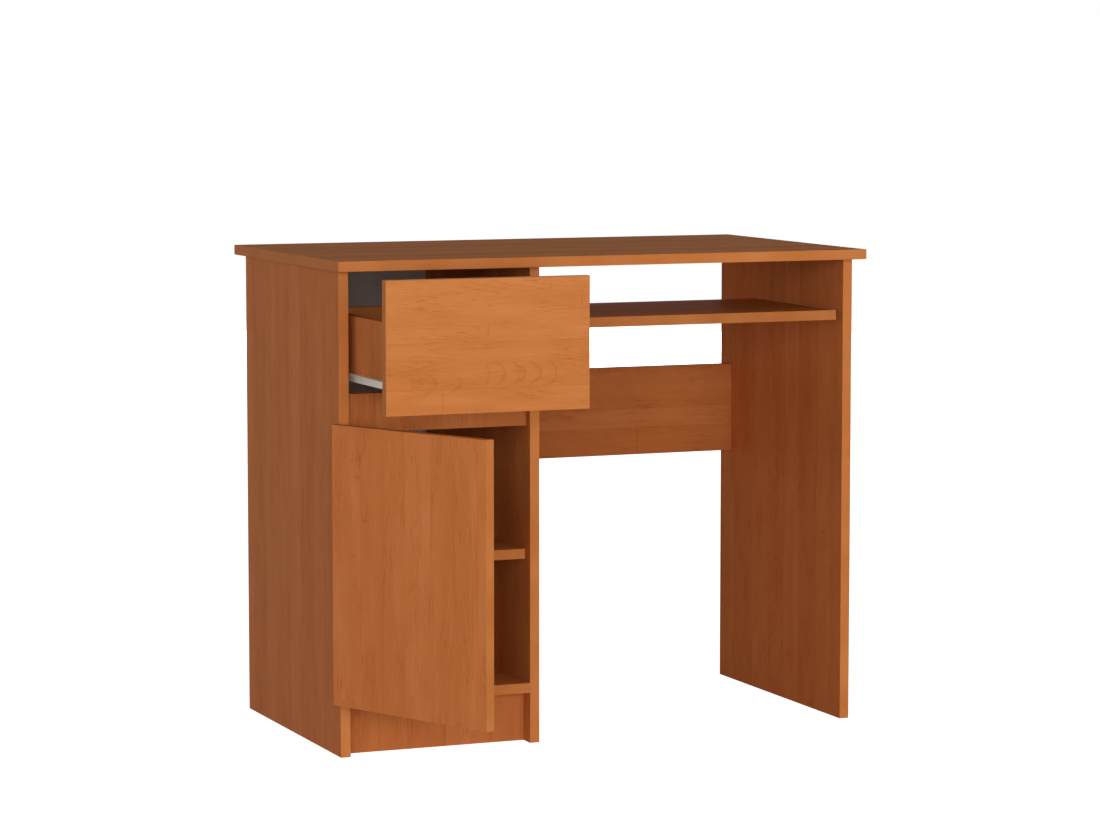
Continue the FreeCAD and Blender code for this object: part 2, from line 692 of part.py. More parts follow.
def make_cross_boards(bores):
    """Bottom, rail, plinth, shelf, modesty panel and hardboard back."""
    bottom_at = ("cupboard_left", "front_y", "plinth_height")
    bottom_strip, bottom = banded_front("bottom", bottom_at, ("cupboard_width", "panel_depth", "board"))
    node(cut("bottom_board", bottom, bores), "bottom_board")
    shelf_at = ("cupboard_left + shelf_end_play", "shelf_y", "shelf_underside")
    shelf_extent = ("cupboard_width - 2 * shelf_end_play", "shelf_depth", "board")
    shelf_strip, shelf = banded_front("shelf", shelf_at, shelf_extent)
    node(shelf, "cupboard_shelf")
    node(group("cupboard_edging", [bottom_strip, shelf_strip]), "cupboard_edging")
    rail = box("rail_blank", ("cupboard_left", "rail_y", "rail_underside"),
               ("cupboard_width", "board", "rail_height"))
    node(cut("front_rail", rail, bores), "front_rail")
    plinth = box("plinth_blank", ("cupboard_left", "front_y + plinth_setback", "0"),
                 ("cupboard_width", "board", "plinth_height"))
    node(cut("plinth_drilled", plinth, bores), "plinth")
    modesty = box("modesty_blank", ("kneehole_left", "modesty_y", "modesty_underside"),
                  ("kneehole_width", "board", "modesty_height"))
    node(cut("modesty_panel", modesty, bores), "modesty_panel")
    back = box("cupboard_back_panel", ("left_x + back_margin", "back_y", "plinth_height + back_margin"),
               ("cupboard_width + 2 * board - 2 * back_margin", "hardboard",
                "panel_height - plinth_height - 2 * back_margin"))
    node(back, "cupboard_back_panel")


def make_keyboard_shelf(runner_bores):
    at = ("keyboard_left", "front_y", "keyboard_underside")
    extent = ("keyboard_right - (keyboard_left)", "keyboard_depth", "board")
    strip, core = banded_front("keyboard", at, extent)
    node(cut("keyboard_shelf", core, runner_bores), "keyboard_shelf")
    node(strip, "keyboard_shelf_edging")


def make_drawer(runner_bores):
    """Front, sides, back and bottom of the drawer, with its dowels."""
    dowels = Fastening("drawer_dowel")
    low = "groove_z + drawer_dowel_inset"
    high = "drawer_side_underside + drawer_side_height - drawer_dowel_inset"
    back_y = "drawer_end_y - board"
    for mid, inner, inward in (("drawer_left + board / 2", "drawer_inner_left", "+x"),
                               ("drawer_right - board / 2", "drawer_inner_right", "-x")):
        for z in (low, high):
            add_dowel(dowels, (mid, "drawer_y", z), "+y")
            add_dowel(dowels, (inner, f"{back_y} + board / 2", z), inward)
    node(group("drawer_dowels", dowels.solids), "drawer_dowels")

    inner_width = "drawer_inner_right - (drawer_inner_left)"
    groove = box("drawer_groove", ("drawer_inner_left - groove_depth", "drawer_y - groove_depth", "groove_z"),
                 (f"{inner_width} + 2 * groove_depth", "drawer_length + groove_depth",
                  "hardboard + groove_play"))
    tools = dowels.bores + runner_bores + [groove]

    front_at = ("front_x", "drawer_y - board", "drawer_front_underside")
    frame, core = banded_frame("drawer_front", front_at, ("front_width", "board", "drawer_front_height"), "y")
    node(cut("drawer_front_drilled", core, tools), "drawer_front")
    node(frame, "drawer_front_edging")
    for hand, x in (("left", "drawer_left"), ("right", "drawer_inner_right")):
        blank = box(f"drawer_{hand}_blank", (x, "drawer_y", "drawer_side_underside"),
                    ("board", "drawer_length", "drawer_side_height"))
        node(cut(f"drawer_{hand}_side", blank, tools), f"drawer_{hand}_side")
    back_foot = "groove_z + hardboard + groove_play"
    back = box("drawer_back_blank", ("drawer_inner_left", back_y, back_foot),
               (inner_width, "board", "drawer_side_height - groove_height - hardboard - groove_play"))
    node(cut("drawer_back", back, tools), "drawer_back")
    seat = "groove_depth - bore_end_room"
    bottom = box("drawer_bottom", (f"drawer_inner_left - ({seat})", f"drawer_y - ({seat})", "groove_z"),
                 (f"{inner_width} + 2 * ({seat})", f"drawer_length + {seat}", "hardboard"))
    node(bottom, "drawer_bottom")


def make_door(screw_bores, hinge_parts):
    """The door, made closed and then swung open on its pins with its hinge leaves."""
    at = ("front_x", "closed_y - board", "door_underside")
    frame, core = banded_frame("door", at, ("front_width", "board", "door_height"), "y")
    door = node(cut("door_panel", core, screw_bores), "door_panel")
    node(frame, "door_edging")
    doc.recompute()
    pin = doc.getObject("hinge_pin_upper").Placement.Base
    swing = FreeCAD.Rotation(DIRECTIONS["-z"], size("door_open_angle"))
    for thing in [door, frame] + hinge_parts:
        thing.Placement = FreeCAD.Placement(FreeCAD.Vector(), swing, FreeCAD.Vector(pin.x, pin.y, 0))


def check_and_write():
    """Stops on any failed object, then writes one STEP file per sub-part."""
    doc.recompute()
    for thing in doc.Objects:
        if {"Invalid", "Error"} & set(thing.State):
            raise RuntimeError(f"{thing.Name} failed: {thing.State}")
    os.makedirs("parts", exist_ok=True)
    for thing in nodes:
        shape = thing.Shape
        if shape.isNull() or not shape.isValid() or not shape.Solids:
            raise RuntimeError(f"{thing.Label} has no valid solid")
        shape.exportStep(f"parts/{thing.Label}.step")
        print(f"{thing.Label}: {len(shape.Solids)} solids, {shape.Volume:.1f} mm3")


def main():
    carcass_bores = make_carcass_fasteners() + make_shelf_pins()
    hinge_bores, door_bores, hinge_parts = make_hinges()
    channel_bores, drawer_runner_bores, keyboard_runner_bores = make_slides()
    make_top(carcass_bores)
    make_uprights(carcass_bores + channel_bores, hinge_bores)
    make_cross_boards(carcass_bores)
    make_keyboard_shelf(keyboard_runner_bores)
    make_drawer(drawer_runner_bores)
    make_door(door_bores, hinge_parts)
    check_and_write()


main()
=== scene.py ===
"""Dresses the computer desk: finishes for boards and fittings, small turned parts, studio and camera."""

import json
import logging
import math
from dataclasses import dataclass
from enum import Enum
from functools import cache

import bmesh
import bpy
from mathutils import Matrix, Vector

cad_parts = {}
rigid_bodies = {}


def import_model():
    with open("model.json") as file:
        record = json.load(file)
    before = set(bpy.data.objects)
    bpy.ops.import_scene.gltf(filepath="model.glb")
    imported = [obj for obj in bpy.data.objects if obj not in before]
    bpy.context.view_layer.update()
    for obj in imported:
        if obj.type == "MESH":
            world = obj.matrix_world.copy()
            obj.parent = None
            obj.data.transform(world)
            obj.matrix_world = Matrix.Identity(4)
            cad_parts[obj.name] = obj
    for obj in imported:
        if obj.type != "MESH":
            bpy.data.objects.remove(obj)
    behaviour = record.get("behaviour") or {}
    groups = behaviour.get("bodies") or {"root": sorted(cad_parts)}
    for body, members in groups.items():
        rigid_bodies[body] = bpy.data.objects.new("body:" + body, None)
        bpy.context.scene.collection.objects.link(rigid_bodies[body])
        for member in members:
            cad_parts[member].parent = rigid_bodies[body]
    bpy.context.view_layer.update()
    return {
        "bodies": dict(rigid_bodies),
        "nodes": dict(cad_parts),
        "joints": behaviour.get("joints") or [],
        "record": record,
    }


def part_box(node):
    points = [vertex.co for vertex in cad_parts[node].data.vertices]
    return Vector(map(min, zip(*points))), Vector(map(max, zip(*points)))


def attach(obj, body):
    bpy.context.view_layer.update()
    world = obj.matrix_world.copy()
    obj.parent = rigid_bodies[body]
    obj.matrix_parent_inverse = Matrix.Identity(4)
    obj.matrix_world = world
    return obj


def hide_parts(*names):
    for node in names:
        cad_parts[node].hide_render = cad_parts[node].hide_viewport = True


log = logging.getLogger("desk")

MM = 0.001

# ways out of the desk's sides
BACK = (0.0, 1.0, 0.0)
UNDER = (0.0, 0.0, -1.0)
LEFT = (-1.0, 0.0, 0.0)
RIGHT = (1.0, 0.0, 0.0)

# the cosines past which a face looks square to a side, or away from it
SQUARE_ON = 0.9
TURNED_AWAY = -0.5

Colour = tuple[float, float, float, float]
Point = tuple[float, float, float]
Pair = tuple[float, float]
Material = bpy.types.Material
Tree = bpy.types.NodeTree
Node = bpy.types.Node
Socket = bpy.types.NodeSocket
Form = bmesh.types.BMesh
Edge = bmesh.types.BMEdge


def linear(hex_colour: str, shade: float = 1.0) -> Colour:
    """Turns an sRGB hex colour to linear.

    Args:
        hex_colour: six hex digits, with or without a leading hash.
        shade: a factor on the colour; near 1 it is a board's own tone, and well below 1 it is painted shade
            for boards deep in the desk.

    Returns:
        Red, green, blue and alpha, from 0 to 1.
    """
    digits = hex_colour.lstrip("#")
    shares = [int(digits[i:i + 2], 16) / 255 for i in (0, 2, 4)]
    red, green, blue = [s / 12.92 if s <= 0.04045 else ((s + 0.055) / 1.055) ** 2.4 for s in shares]
    return red * shade, green * shade, blue * shade, 1.0


def add_node(tree: Tree, kind: str, inputs: dict | None = None, **settings: object) -> Node:
    """Adds a node with its settings and links.

    Args:
        tree: the node tree that gets the node.
        kind: the node's type, without the ShaderNode in front.
        inputs: for each input, a value to set, a socket to link, or a node whose first output is linked.
        settings: the node's own properties.

    Returns:
        The new node.
    """
    node = tree.nodes.new(f"ShaderNode{kind}")
    for name, value in settings.items():
        setattr(node, name, value)
    for name, value in (inputs or {}).items():
        source = value.outputs[0] if isinstance(value, Node) else value
        if isinstance(source, Socket):
            tree.links.new(source, node.inputs[name])
        else:
            node.inputs[name].default_value = source
    return node


def set_stops(ramp: Node, stops: list[tuple[float, Colour]], interpolation: str = "LINEAR") -> None:
    """Gives a colour ramp its stops.

    Args:
        ramp: the ramp's node.
        stops: each stop's place, from 0 to 1, and its colour.
        interpolation: how the ramp goes from stop to stop.
    """
    elements = ramp.color_ramp.elements
    ramp.color_ramp.interpolation = interpolation
    while len(elements) < len(stops):
        elements.new(1.0)
    for element, (position, colour) in zip(elements, stops):
        element.position = position
        element.color = colour


def new_material(name: str) -> tuple[Material, Tree]:
    """Makes an empty material.

    Args:
        name: the material's name.

    Returns:
        The material and its node tree.
    """
    material = bpy.data.materials.new(name)
    material.use_nodes = True
    material.node_tree.nodes.clear()
    return material, material.node_tree


def finish_shader(tree: Tree, surface: dict, relief: dict) -> None:
    """Puts the surface and its relief at the end of a material.

    Args:
        tree: the material's node tree.
        surface: the surface shader's inputs.
        relief: the relief's inputs.
    """
    bump = add_node(tree, "Bump", relief)
    shader = add_node(tree, "BsdfPrincipled", {**surface, "Normal": bump})
    add_node(tree, "OutputMaterial", {"Surface": shader})


class Grain(Enum):
    """Which way the decor's grain runs on a board: the axis along it, then the two across it."""

    ALONG_X = ("X", "Y", "Z")
    UPRIGHT = ("Z", "X", "Y")


@dataclass(frozen=True)
class Ground:
    """What the print is drawn on: node tree, place along and across the grain in mm, and noises."""

    tree: Tree
    along: Socket
    across: Node
    noises: dict[str, Node]


@dataclass(frozen=True)
class Drawn:
    """Something drawn on the ground: where it shows, how far it changes the tone, and its middle level."""

    shown: Node | Socket
    weight: float
    middle: float = 0.0


@dataclass(frozen=True)
class Butt:
    """The end joint of a strip: where it is along the grain, and from where to where across it, in mm."""

    along: float
    low: float
    high: float
    half_line: float = 0.7
    strength: float = 0.26

    def draw(self, ground: Ground) -> Drawn:
        """Draws the joint's line.

        Args:
            ground: what it is drawn on.

        Returns:
            What was drawn.
        """
        tree, middle, half = ground.tree, (self.low + self.high) / 2, (self.high - self.low) / 2
        near = add_node(tree, "Math", {0: ground.along, 1: self.along, 2: self.half_line},
                        operation="COMPARE")
        inside = add_node(tree, "Math", {0: ground.across, 1: middle, 2: half}, operation="COMPARE")
        line = add_node(tree, "Math", {0: near, 1: inside}, operation="MULTIPLY")
        return Drawn(line, -self.strength)


@dataclass(frozen=True)
class Arches:
    """A run of nested arches in one strip: from where to where their tips lie along the grain, in mm.

    They reach half_width to both sides of their middle and are pitch apart. Their feet lag behind their tips
    by depth pitches. They wobble by some pitches, in waves per mm, and fade out towards their feet.
    """

    start: float
    end: float
    middle: float
    half_width: float
    pitch: float
    depth: float = 0.75
    strength: float = 0.3
    wobble: float = 1.5
    waves: float = 0.03
    sharpness: float = 7.0
    fade: float = 0.7

    def draw(self, ground: Ground) -> Drawn:
        """Draws the arches, the way growth rings show on a strip cut through the side of the trunk.

        Args:
            ground: what they are drawn on.

        Returns:
            What was drawn.
        """
        tree, along = ground.tree, ground.along
        # a parabola's level rises by one from each arch to the next
        off = add_node(tree, "MapRange", {"Value": ground.across, "From Min": self.middle,
                                          "From Max": self.middle + self.half_width}, clamp=False)
        square = add_node(tree, "Math", {0: off, 1: off}, operation="MULTIPLY")
        steps = add_node(tree, "MapRange", {"Value": along, "From Min": self.start,
                                            "From Max": self.start + self.pitch}, clamp=False)
        bent = add_node(tree, "Math", {0: square, 1: self.depth, 2: steps}, operation="MULTIPLY_ADD")
        wave = add_node(tree, "TexNoise", {"W": along, "Scale": self.waves, "Detail": 1.0},
                        noise_dimensions="1D")
        level = add_node(tree, "Math", {0: wave, 1: self.wobble, 2: bent}, operation="MULTIPLY_ADD")
        saw = add_node(tree, "Math", {0: level}, operation="FRACT")
        shown = add_node(tree, "Math", {0: saw, 1: self.sharpness}, operation="POWER")
        inside = add_node(tree, "MapRange", {"Value": square, "From Min": 1.0, "From Max": self.fade},
                          interpolation_type="SMOOTHSTEP")
        near = add_node(tree, "Math", {0: along, 1: (self.start + self.end) / 2,
                                       2: abs(self.end - self.start) / 2}, operation="COMPARE")
        for limit in (inside, near):
            shown = add_node(tree, "Math", {0: shown, 1: limit}, operation="MULTIPLY")
        return Drawn(shown, -self.strength)


@dataclass(frozen=True)
class Knot:
    """A pin knot: its place along and across the grain and its reach each way, in mm.

    The flecks fray it, and it goes from clear to dark over the fade, in reaches.
    """

    along: float
    across: float
    reach: Pair = (4.0, 8.0)
    strength: float = 0.3
    fray: float = 1.6
    fade: Pair = (1.9, 0.9)

    def draw(self, ground: Ground) -> Drawn:
        """Draws the knot as a small smudge that lies across the grain.

        Args:
            ground: what it is drawn on.

        Returns:
            What was drawn.
        """
        tree = ground.tree
        here = add_node(tree, "CombineXYZ", {0: ground.along, 1: ground.across})
        off = add_node(tree, "Mapping", {"Vector": here, "Location": (self.along, self.across, 0.0),
                                         "Scale": (*self.reach, 1.0)}, vector_type="TEXTURE")
        away = add_node(tree, "VectorMath", {0: off}, operation="LENGTH").outputs["Value"]
        frayed = add_node(tree, "Math", {0: ground.noises["flecks"], 1: self.fray, 2: away},
                          operation="MULTIPLY_ADD")
        clear, full = self.fade
        dark = add_node(tree, "MapRange", {"Value": frayed, "From Min": clear, "From Max": full},
                        interpolation_type="SMOOTHSTEP")
        return Drawn(dark, -self.strength)


Marks = tuple[Butt | Arches | Knot, ...]


@dataclass(frozen=True)
class Figure:
    """The print's figure: the levels at which its noises show, and how far each lightens or darkens the tone.

    The growth rings are the hills' contours, so many of them from lowest to highest. Rings and dark flecks
    show where the flecks gather.
    """

    ring_count: float = 16.0
    ring_sharpness: float = 3.0
    gather_levels: Pair = (0.42, 0.62)
    dark_levels: Pair = (0.58, 0.74)
    light_levels: Pair = (0.40, 0.26)
    clouds: float = 0.54
    streaks: float = 0.15
    rings: float = -0.17
    dark_flecks: float = -0.58
    light_flecks: float = 0.18
    joints: float = -0.16


@dataclass(frozen=True)
class Surface:
    """How a surface looks: its colour, roughness and height."""

    colour: Socket
    rough: Node
    height: Node


# strips of the print: each one's width in mm and its tone, 0 dark to 1 light
PLAIN_STAVES = ((58, 0.56), (71, 0.44), (46, 0.52), (64, 0.38), (52, 0.60),
                (77, 0.47), (49, 0.54), (66, 0.41), (55, 0.58), (61, 0.50))

# noises of the print: length along the grain and width across it in mm, and detail; growth rings follow the
# hills, and flecks gather in the patches, drawn wider than real ones, which would not show
NOISES = {"hills": (300, 34, 0.5), "clouds": (150, 26, 2.0), "patches": (90, 34, 1.0),
          "streaks": (130, 2.4, 2.0), "flecks": (22, 1.3, 1.5)}

# the print's redder runs
RUDDY = {"deep": "#B4632F", "middle": "#C97640", "pale": "#DB8A53"}


@dataclass(frozen=True)
class AlderDecor:
    """Alder decor paper under melamine on chipboard: a satin orange-brown print of faintly figured strips.

    The strips are counted from start across the grain, in mm. The shift gives each board another stretch of
    the print, and turn and pivot lay it on a board that stands turned. Raw sides show the chipboard.
    """

    name: str
    grain: Grain
    start: float = 0.0
    staves: tuple[Pair, ...] = PLAIN_STAVES
    marks: Marks = ()
    figure: Figure = Figure()
    shift: float = 0.0
    shift_scale: float = 0.013
    strip_seed: float = 0.37
    strip_shift: float = 4100.0
    joint_line: Pair = (-0.6, 0.3)
    turn: float = 0.0
    pivot: Point = (0.0, 0.0, 0.0)
    raw_sides: tuple[Point, ...] = ()
    chips_per_mm: float = 0.42
    raw_rough: float = 0.85
    deep: str = "#B3662F"
    middle: str = "#C87A40"
    pale: str = "#DA8E53"
    # a factor on the print's colours: near 1 a board's own tone; well below 1 it is painted shade for boards
    # in the kneehole and recesses
    shade: float = 1.0
    specular: float = 0.005
    rough: Pair = (0.46, 0.58)

    def build(self) -> Material:
        """Makes the material.

        Returns:
            The finished material.
        """
        material, tree = new_material(f"alder_melamine_{self.name}")
        place = add_node(tree, "TexCoord")
        laid = add_node(tree, "Mapping", {"Vector": place.outputs["Object"], "Location": self.pivot,
                                          "Rotation": (0.0, 0.0, self.turn)}, vector_type="TEXTURE")
        in_mm = add_node(tree, "VectorMath", {0: laid, "Scale": 1 / MM}, operation="SCALE")
        axes = add_node(tree, "SeparateXYZ", {0: in_mm})
        along, first, second = (axes.outputs[axis] for axis in self.grain.value)
        summed = add_node(tree, "Math", {0: first, 1: second}, operation="ADD")
        across = add_node(tree, "Math", {0: summed, 1: self.start}, operation="SUBTRACT")
        total, seed, joints = self._strips(tree, across)
        noises = self._noises(tree, along, across, seed)
        ground = Ground(tree, along, across, noises)
        for drawn in (*self._figure(ground), Drawn(joints, self.figure.joints),
                      *(mark.draw(ground) for mark in self.marks)):
            change = add_node(tree, "Math", {0: drawn.shown, 1: drawn.middle}, operation="SUBTRACT")
            total = add_node(tree, "Math", {0: change, 1: drawn.weight, 2: total}, operation="MULTIPLY_ADD")
        colour = add_node(tree, "ValToRGB", {"Fac": total})
        set_stops(colour, [(stop / 2, linear(tint, self.shade))
                           for stop, tint in enumerate((self.deep, self.middle, self.pale))])
        low, high = self.rough
        rough = add_node(tree, "MapRange", {"Value": noises["streaks"], "To Min": low, "To Max": high})
        surface = Surface(colour.outputs["Color"], rough, noises["flecks"])
        if self.raw_sides:
            surface = self._raw_edges(tree, place, in_mm, surface)
        finish_shader(tree, {"Base Color": surface.colour, "Roughness": surface.rough,
                             "Specular IOR Level": self.specular},
                      {"Height": surface.height, "Strength": 0.12, "Distance": 0.2 * MM})
        return material

    def _strips(self, tree: Tree, across: Node) -> tuple[Socket, Socket, Socket]:
        """Lays the glued strips side by side over the board.

        Args:
            tree: the material's node tree.
            across: the place across the grain, in mm.

        Returns:
            The strip's tone, its seed and the line at its joint.
        """
        total = sum(width for width, _ in self.staves)
        share = add_node(tree, "MapRange", {"Value": across, "From Max": total}, clamp=False)
        wrapped = add_node(tree, "Math", {0: share, 1: 1.0, 2: 0.0}, operation="WRAP")
        ramp = add_node(tree, "ValToRGB", {"Fac": wrapped})
        lines = add_node(tree, "ValToRGB", {"Fac": wrapped})
        black, white = linear("#000000"), linear("#FFFFFF")
        before, after = self.joint_line
        stops, marks, edge = [], [(0.0, black)], 0.0
        for number, (width, tone) in enumerate(self.staves):
            stops.append((edge / total, (tone, (number * self.strip_seed) % 1.0, 0.0, 1.0)))
            if number:
                marks += [((edge + before) / total, white), ((edge + after) / total, black)]
            edge += width
        set_stops(ramp, stops, "CONSTANT")
        set_stops(lines, marks, "CONSTANT")
        parts = add_node(tree, "SeparateColor", {0: ramp})
        return parts.outputs["Red"], parts.outputs["Green"], lines.outputs["Color"]

    def _noises(self, tree: Tree, along: Socket, across: Node, seed: Socket) -> dict[str, Node]:
        """Draws the noises that the figure is made of, another stretch of them on each strip.

        Args:
            tree: the material's node tree.
            along: the place along the grain, in mm.
            across: the place across the grain, in mm.
            seed: a number that differs from strip to strip.

        Returns:
            The noises by name.
        """
        noises = {}
        moved = add_node(tree, "Math", {0: seed, 1: self.strip_shift, 2: along}, operation="MULTIPLY_ADD")
        stretch = add_node(tree, "CombineXYZ", {0: moved, 1: across, 2: self.shift})
        for name, (length, width, detail) in NOISES.items():
            scale = (1 / length, 1 / width, self.shift_scale)
            scaled = add_node(tree, "VectorMath", {0: stretch, 1: scale}, operation="MULTIPLY")
            noises[name] = add_node(tree, "TexNoise", {"Vector": scaled, "Scale": 1.0, "Detail": detail})
        return noises

    def _figure(self, ground: Ground) -> list[Drawn]:
        """Draws the growth rings, streaks, flecks and clouds of the strips.

        Args:
            ground: what they are drawn on.

        Returns:
            What was drawn.
        """
        tree, noises, figure = ground.tree, ground.noises, self.figure
        levels = {"gather": ("patches", figure.gather_levels, "SMOOTHSTEP"),
                  "dark": ("flecks", figure.dark_levels, "LINEAR"),
                  "light": ("flecks", figure.light_levels, "LINEAR")}
        shown = {name: add_node(tree, "MapRange", {"Value": noises[noise], "From Min": low, "From Max": high},
                                interpolation_type=kind)
                 for name, (noise, (low, high), kind) in levels.items()}
        contours = add_node(tree, "Math", {0: noises["hills"], 1: figure.ring_count}, operation="MULTIPLY")
        saw = add_node(tree, "Math", {0: contours}, operation="FRACT")
        edge = add_node(tree, "Math", {0: saw, 1: figure.ring_sharpness}, operation="POWER")
        rings, dark = (add_node(tree, "Math", {0: part, 1: shown["gather"]}, operation="MULTIPLY")
                       for part in (edge, shown["dark"]))
        return [Drawn(noises["clouds"], figure.clouds, middle=0.5),
                Drawn(noises["streaks"], figure.streaks, middle=0.5), Drawn(rings, figure.rings, middle=0.1),
                Drawn(dark, figure.dark_flecks, middle=0.05),
                Drawn(shown["light"], figure.light_flecks, middle=0.05)]

    def _raw_edges(self, tree: Tree, place: Node, in_mm: Node, decor: Surface) -> Surface:
        """Shows the bare chipboard on the edges that carry no banding.

        Args:
            tree: the material's node tree.
            place: the texture coordinates.
            in_mm: the place in mm.
            decor: the printed surface.

        Returns:
            The surface of the whole board.
        """
        # chips: flakes 1 to 4 mm across in pale and dark straw
        chips = add_node(tree, "TexVoronoi", {"Vector": in_mm, "Scale": self.chips_per_mm})
        chip = add_node(tree, "SeparateColor", {0: chips.outputs["Color"]})
        straw = add_node(tree, "ValToRGB", {"Fac": chip.outputs["Red"]})
        set_stops(straw, [(0.0, linear("#7E5F3F")), (0.45, linear("#A98660")), (1.0, linear("#CFB48B"))])
        bare = None
        for side in self.raw_sides:
            facing = add_node(tree, "VectorMath", {0: place.outputs["Normal"], 1: side},
                              operation="DOT_PRODUCT").outputs["Value"]
            here = add_node(tree, "Math", {0: facing, 1: SQUARE_ON}, operation="GREATER_THAN")
            bare = here if bare is None else add_node(tree, "Math", {0: bare, 1: here}, operation="MAXIMUM")
        mixed = add_node(tree, "Mix", {"Factor": bare, 6: decor.colour, 7: straw}, data_type="RGBA")
        rough = add_node(tree, "Mix", {"Factor": bare, 2: decor.rough, 3: self.raw_rough})
        height = add_node(tree, "Mix", {"Factor": bare, 2: decor.height, 3: chip.outputs["Green"]})
        return Surface(mixed.outputs[2], rough, height)


@dataclass(frozen=True)
class EdgeBand:
    """Melamine edge banding, printed to match and ironed on: a shade plainer and glossier than the boards.

    It has blocks of tone some 70 mm across, and a fine grain some 2 mm across whichever way the band runs.
    """

    name: str
    # a factor on the band's colours: near 1 its own tone; well below 1 it is painted shade for bands on
    # recessed boards
    shade: float = 1.0
    deep: str = "#C27037"
    pale: str = "#D4864C"
    blocks_per_metre: float = 14.0
    threads_per_metre: float = 420.0
    thread_share: float = 0.3
    rough: Pair = (0.38, 0.5)

    def build(self) -> Material:
        """Makes the material.

        Returns:
            The finished material.
        """
        material, tree = new_material(f"melamine_band_{self.name}")
        place = add_node(tree, "TexCoord").outputs["Object"]
        blocks, threads = (add_node(tree, "TexNoise", {"Vector": place, "Scale": scale, "Detail": 2.0})
                           for scale in (self.blocks_per_metre, self.threads_per_metre))
        mixed = add_node(tree, "Mix", {"Factor": self.thread_share, 2: blocks, 3: threads})
        colour = add_node(tree, "ValToRGB", {"Fac": mixed})
        set_stops(colour, [(0.24, linear(self.deep, self.shade)), (0.76, linear(self.pale, self.shade))])
        low, high = self.rough
        rough = add_node(tree, "MapRange", {"Value": threads, "To Min": low, "To Max": high})
        finish_shader(tree, {"Base Color": colour, "Roughness": rough, "Specular IOR Level": 0.01},
                      {"Height": threads, "Strength": 0.08, "Distance": 0.2 * MM})
        return material


@dataclass(frozen=True)
class Hardboard:
    """Thin hardboard: one face white lacquered and satin, drawn light grey as painted shade for the dim
    insides, the other bare, brown and fibrous.

    Its felt has tufts and clouds, whose sizes are in mm.
    """

    name: str
    bare_side: Point
    # the lacquered face: a white painted down to a warm light grey, painted shade for the dim inside of the
    # cupboard and drawer
    lacquer_in_painted_shade: tuple[str, str] = ("#B3B0A7", "#BFBCB3")
    bare: tuple[str, str] = ("#7B5C3F", "#94714E")
    tuft: float = 2.0
    cloud: float = 62.5
    rough: Pair = (0.5, 0.75)

    def build(self) -> Material:
        """Makes the material.

        Returns:
            The finished material.
        """
        material, tree = new_material(self.name)
        place = add_node(tree, "TexCoord")
        felt, clouds = (add_node(tree, "TexNoise", {"Vector": place.outputs["Object"],
                                                    "Scale": 1 / (size * MM), "Detail": detail})
                        for size, detail in ((self.tuft, 3.0), (self.cloud, 2.0)))
        both = add_node(tree, "Mix", {"Factor": 0.5, 2: felt, 3: clouds})
        faces = []
        for deep, pale in (self.lacquer_in_painted_shade, self.bare):
            faces.append(add_node(tree, "ValToRGB", {"Fac": both}))
            set_stops(faces[-1], [(0.3, linear(deep)), (0.7, linear(pale))])
        # the edges are bare too
        facing = add_node(tree, "VectorMath", {0: place.outputs["Normal"], 1: self.bare_side},
                          operation="DOT_PRODUCT").outputs["Value"]
        bare = add_node(tree, "Math", {0: facing, 1: TURNED_AWAY}, operation="GREATER_THAN")
        colour = add_node(tree, "Mix", {"Factor": bare, 6: faces[0], 7: faces[1]}, data_type="RGBA")
        low, high = self.rough
        rough = add_node(tree, "MapRange", {"Value": felt, "To Min": low, "To Max": high})
        finish_shader(tree, {"Base Color": colour.outputs[2], "Roughness": rough, "Specular IOR Level": 0.3},
                      {"Height": felt, "Strength": 0.15, "Distance": 0.3 * MM})
        return material


@dataclass(frozen=True)
class Coat:
    """A plain coated, plated, cast, moulded or turned surface with a fine mottle, its grit in mm."""

    name: str
    deep: str
    pale: str
    grit: float
    metallic: float = 0.0
    rough: Pair = (0.35, 0.5)
    specular: float = 0.5
    relief: float = 0.1
    levels: Pair = (0.3, 0.7)

    @cache
    def build(self) -> Material:
        """Makes the material, once.

        Returns:
            The finished material.
        """
        material, tree = new_material(self.name)
        place = add_node(tree, "TexCoord").outputs["Object"]
        mottle = add_node(tree, "TexNoise", {"Vector": place, "Scale": 1 / (self.grit * MM), "Detail": 3.0})
        colour = add_node(tree, "ValToRGB", {"Fac": mottle})
        low, high = self.levels
        set_stops(colour, [(low, linear(self.deep)), (high, linear(self.pale))])
        rough = add_node(tree, "MapRange", {"Value": mottle, "From Min": low, "From Max": high,
                                            "To Min": self.rough[0], "To Max": self.rough[1]})
        finish_shader(tree, {"Base Color": colour, "Roughness": rough, "Metallic": self.metallic,
                             "Specular IOR Level": self.specular},
                      {"Height": mottle, "Strength": self.relief, "Distance": 0.2 * MM})
        return material


# powder coat on bent sheet: pale warm grey, satin, with a fine orange peel
SLIDE_COAT = Coat("powder_coated_sheet_steel", "#DDD9CA", "#EAE6D8", grit=1.2, rough=(0.35, 0.45))
# acetal, moulded: white, waxy and half gloss
ROLLER_PLASTIC = Coat("moulded_acetal", "#E3E0D8", "#EFEDE6", grit=2.5, rough=(0.3, 0.4), relief=0.04)
# zinc-plated mild steel: bluish bright grey with cloudy reflections
PLATED_STEEL = Coat("zinc_plated_steel", "#A3A7A9", "#C9CBCA", grit=1.6, metallic=1.0, rough=(0.28, 0.42))
# zinc die casting, tumbled: dull mid grey with a pebbled skin
CAST_ZINC = Coat("die_cast_zinc", "#8C8D8B", "#ABACA9", grit=0.8, metallic=1.0, rough=(0.42, 0.58))
# beech, turned: pale pinkish straw, dry and matt
BEECH = Coat("turned_beech", "#C79F74", "#DDBB92", grit=1.0, rough=(0.7, 0.85), specular=0.25)


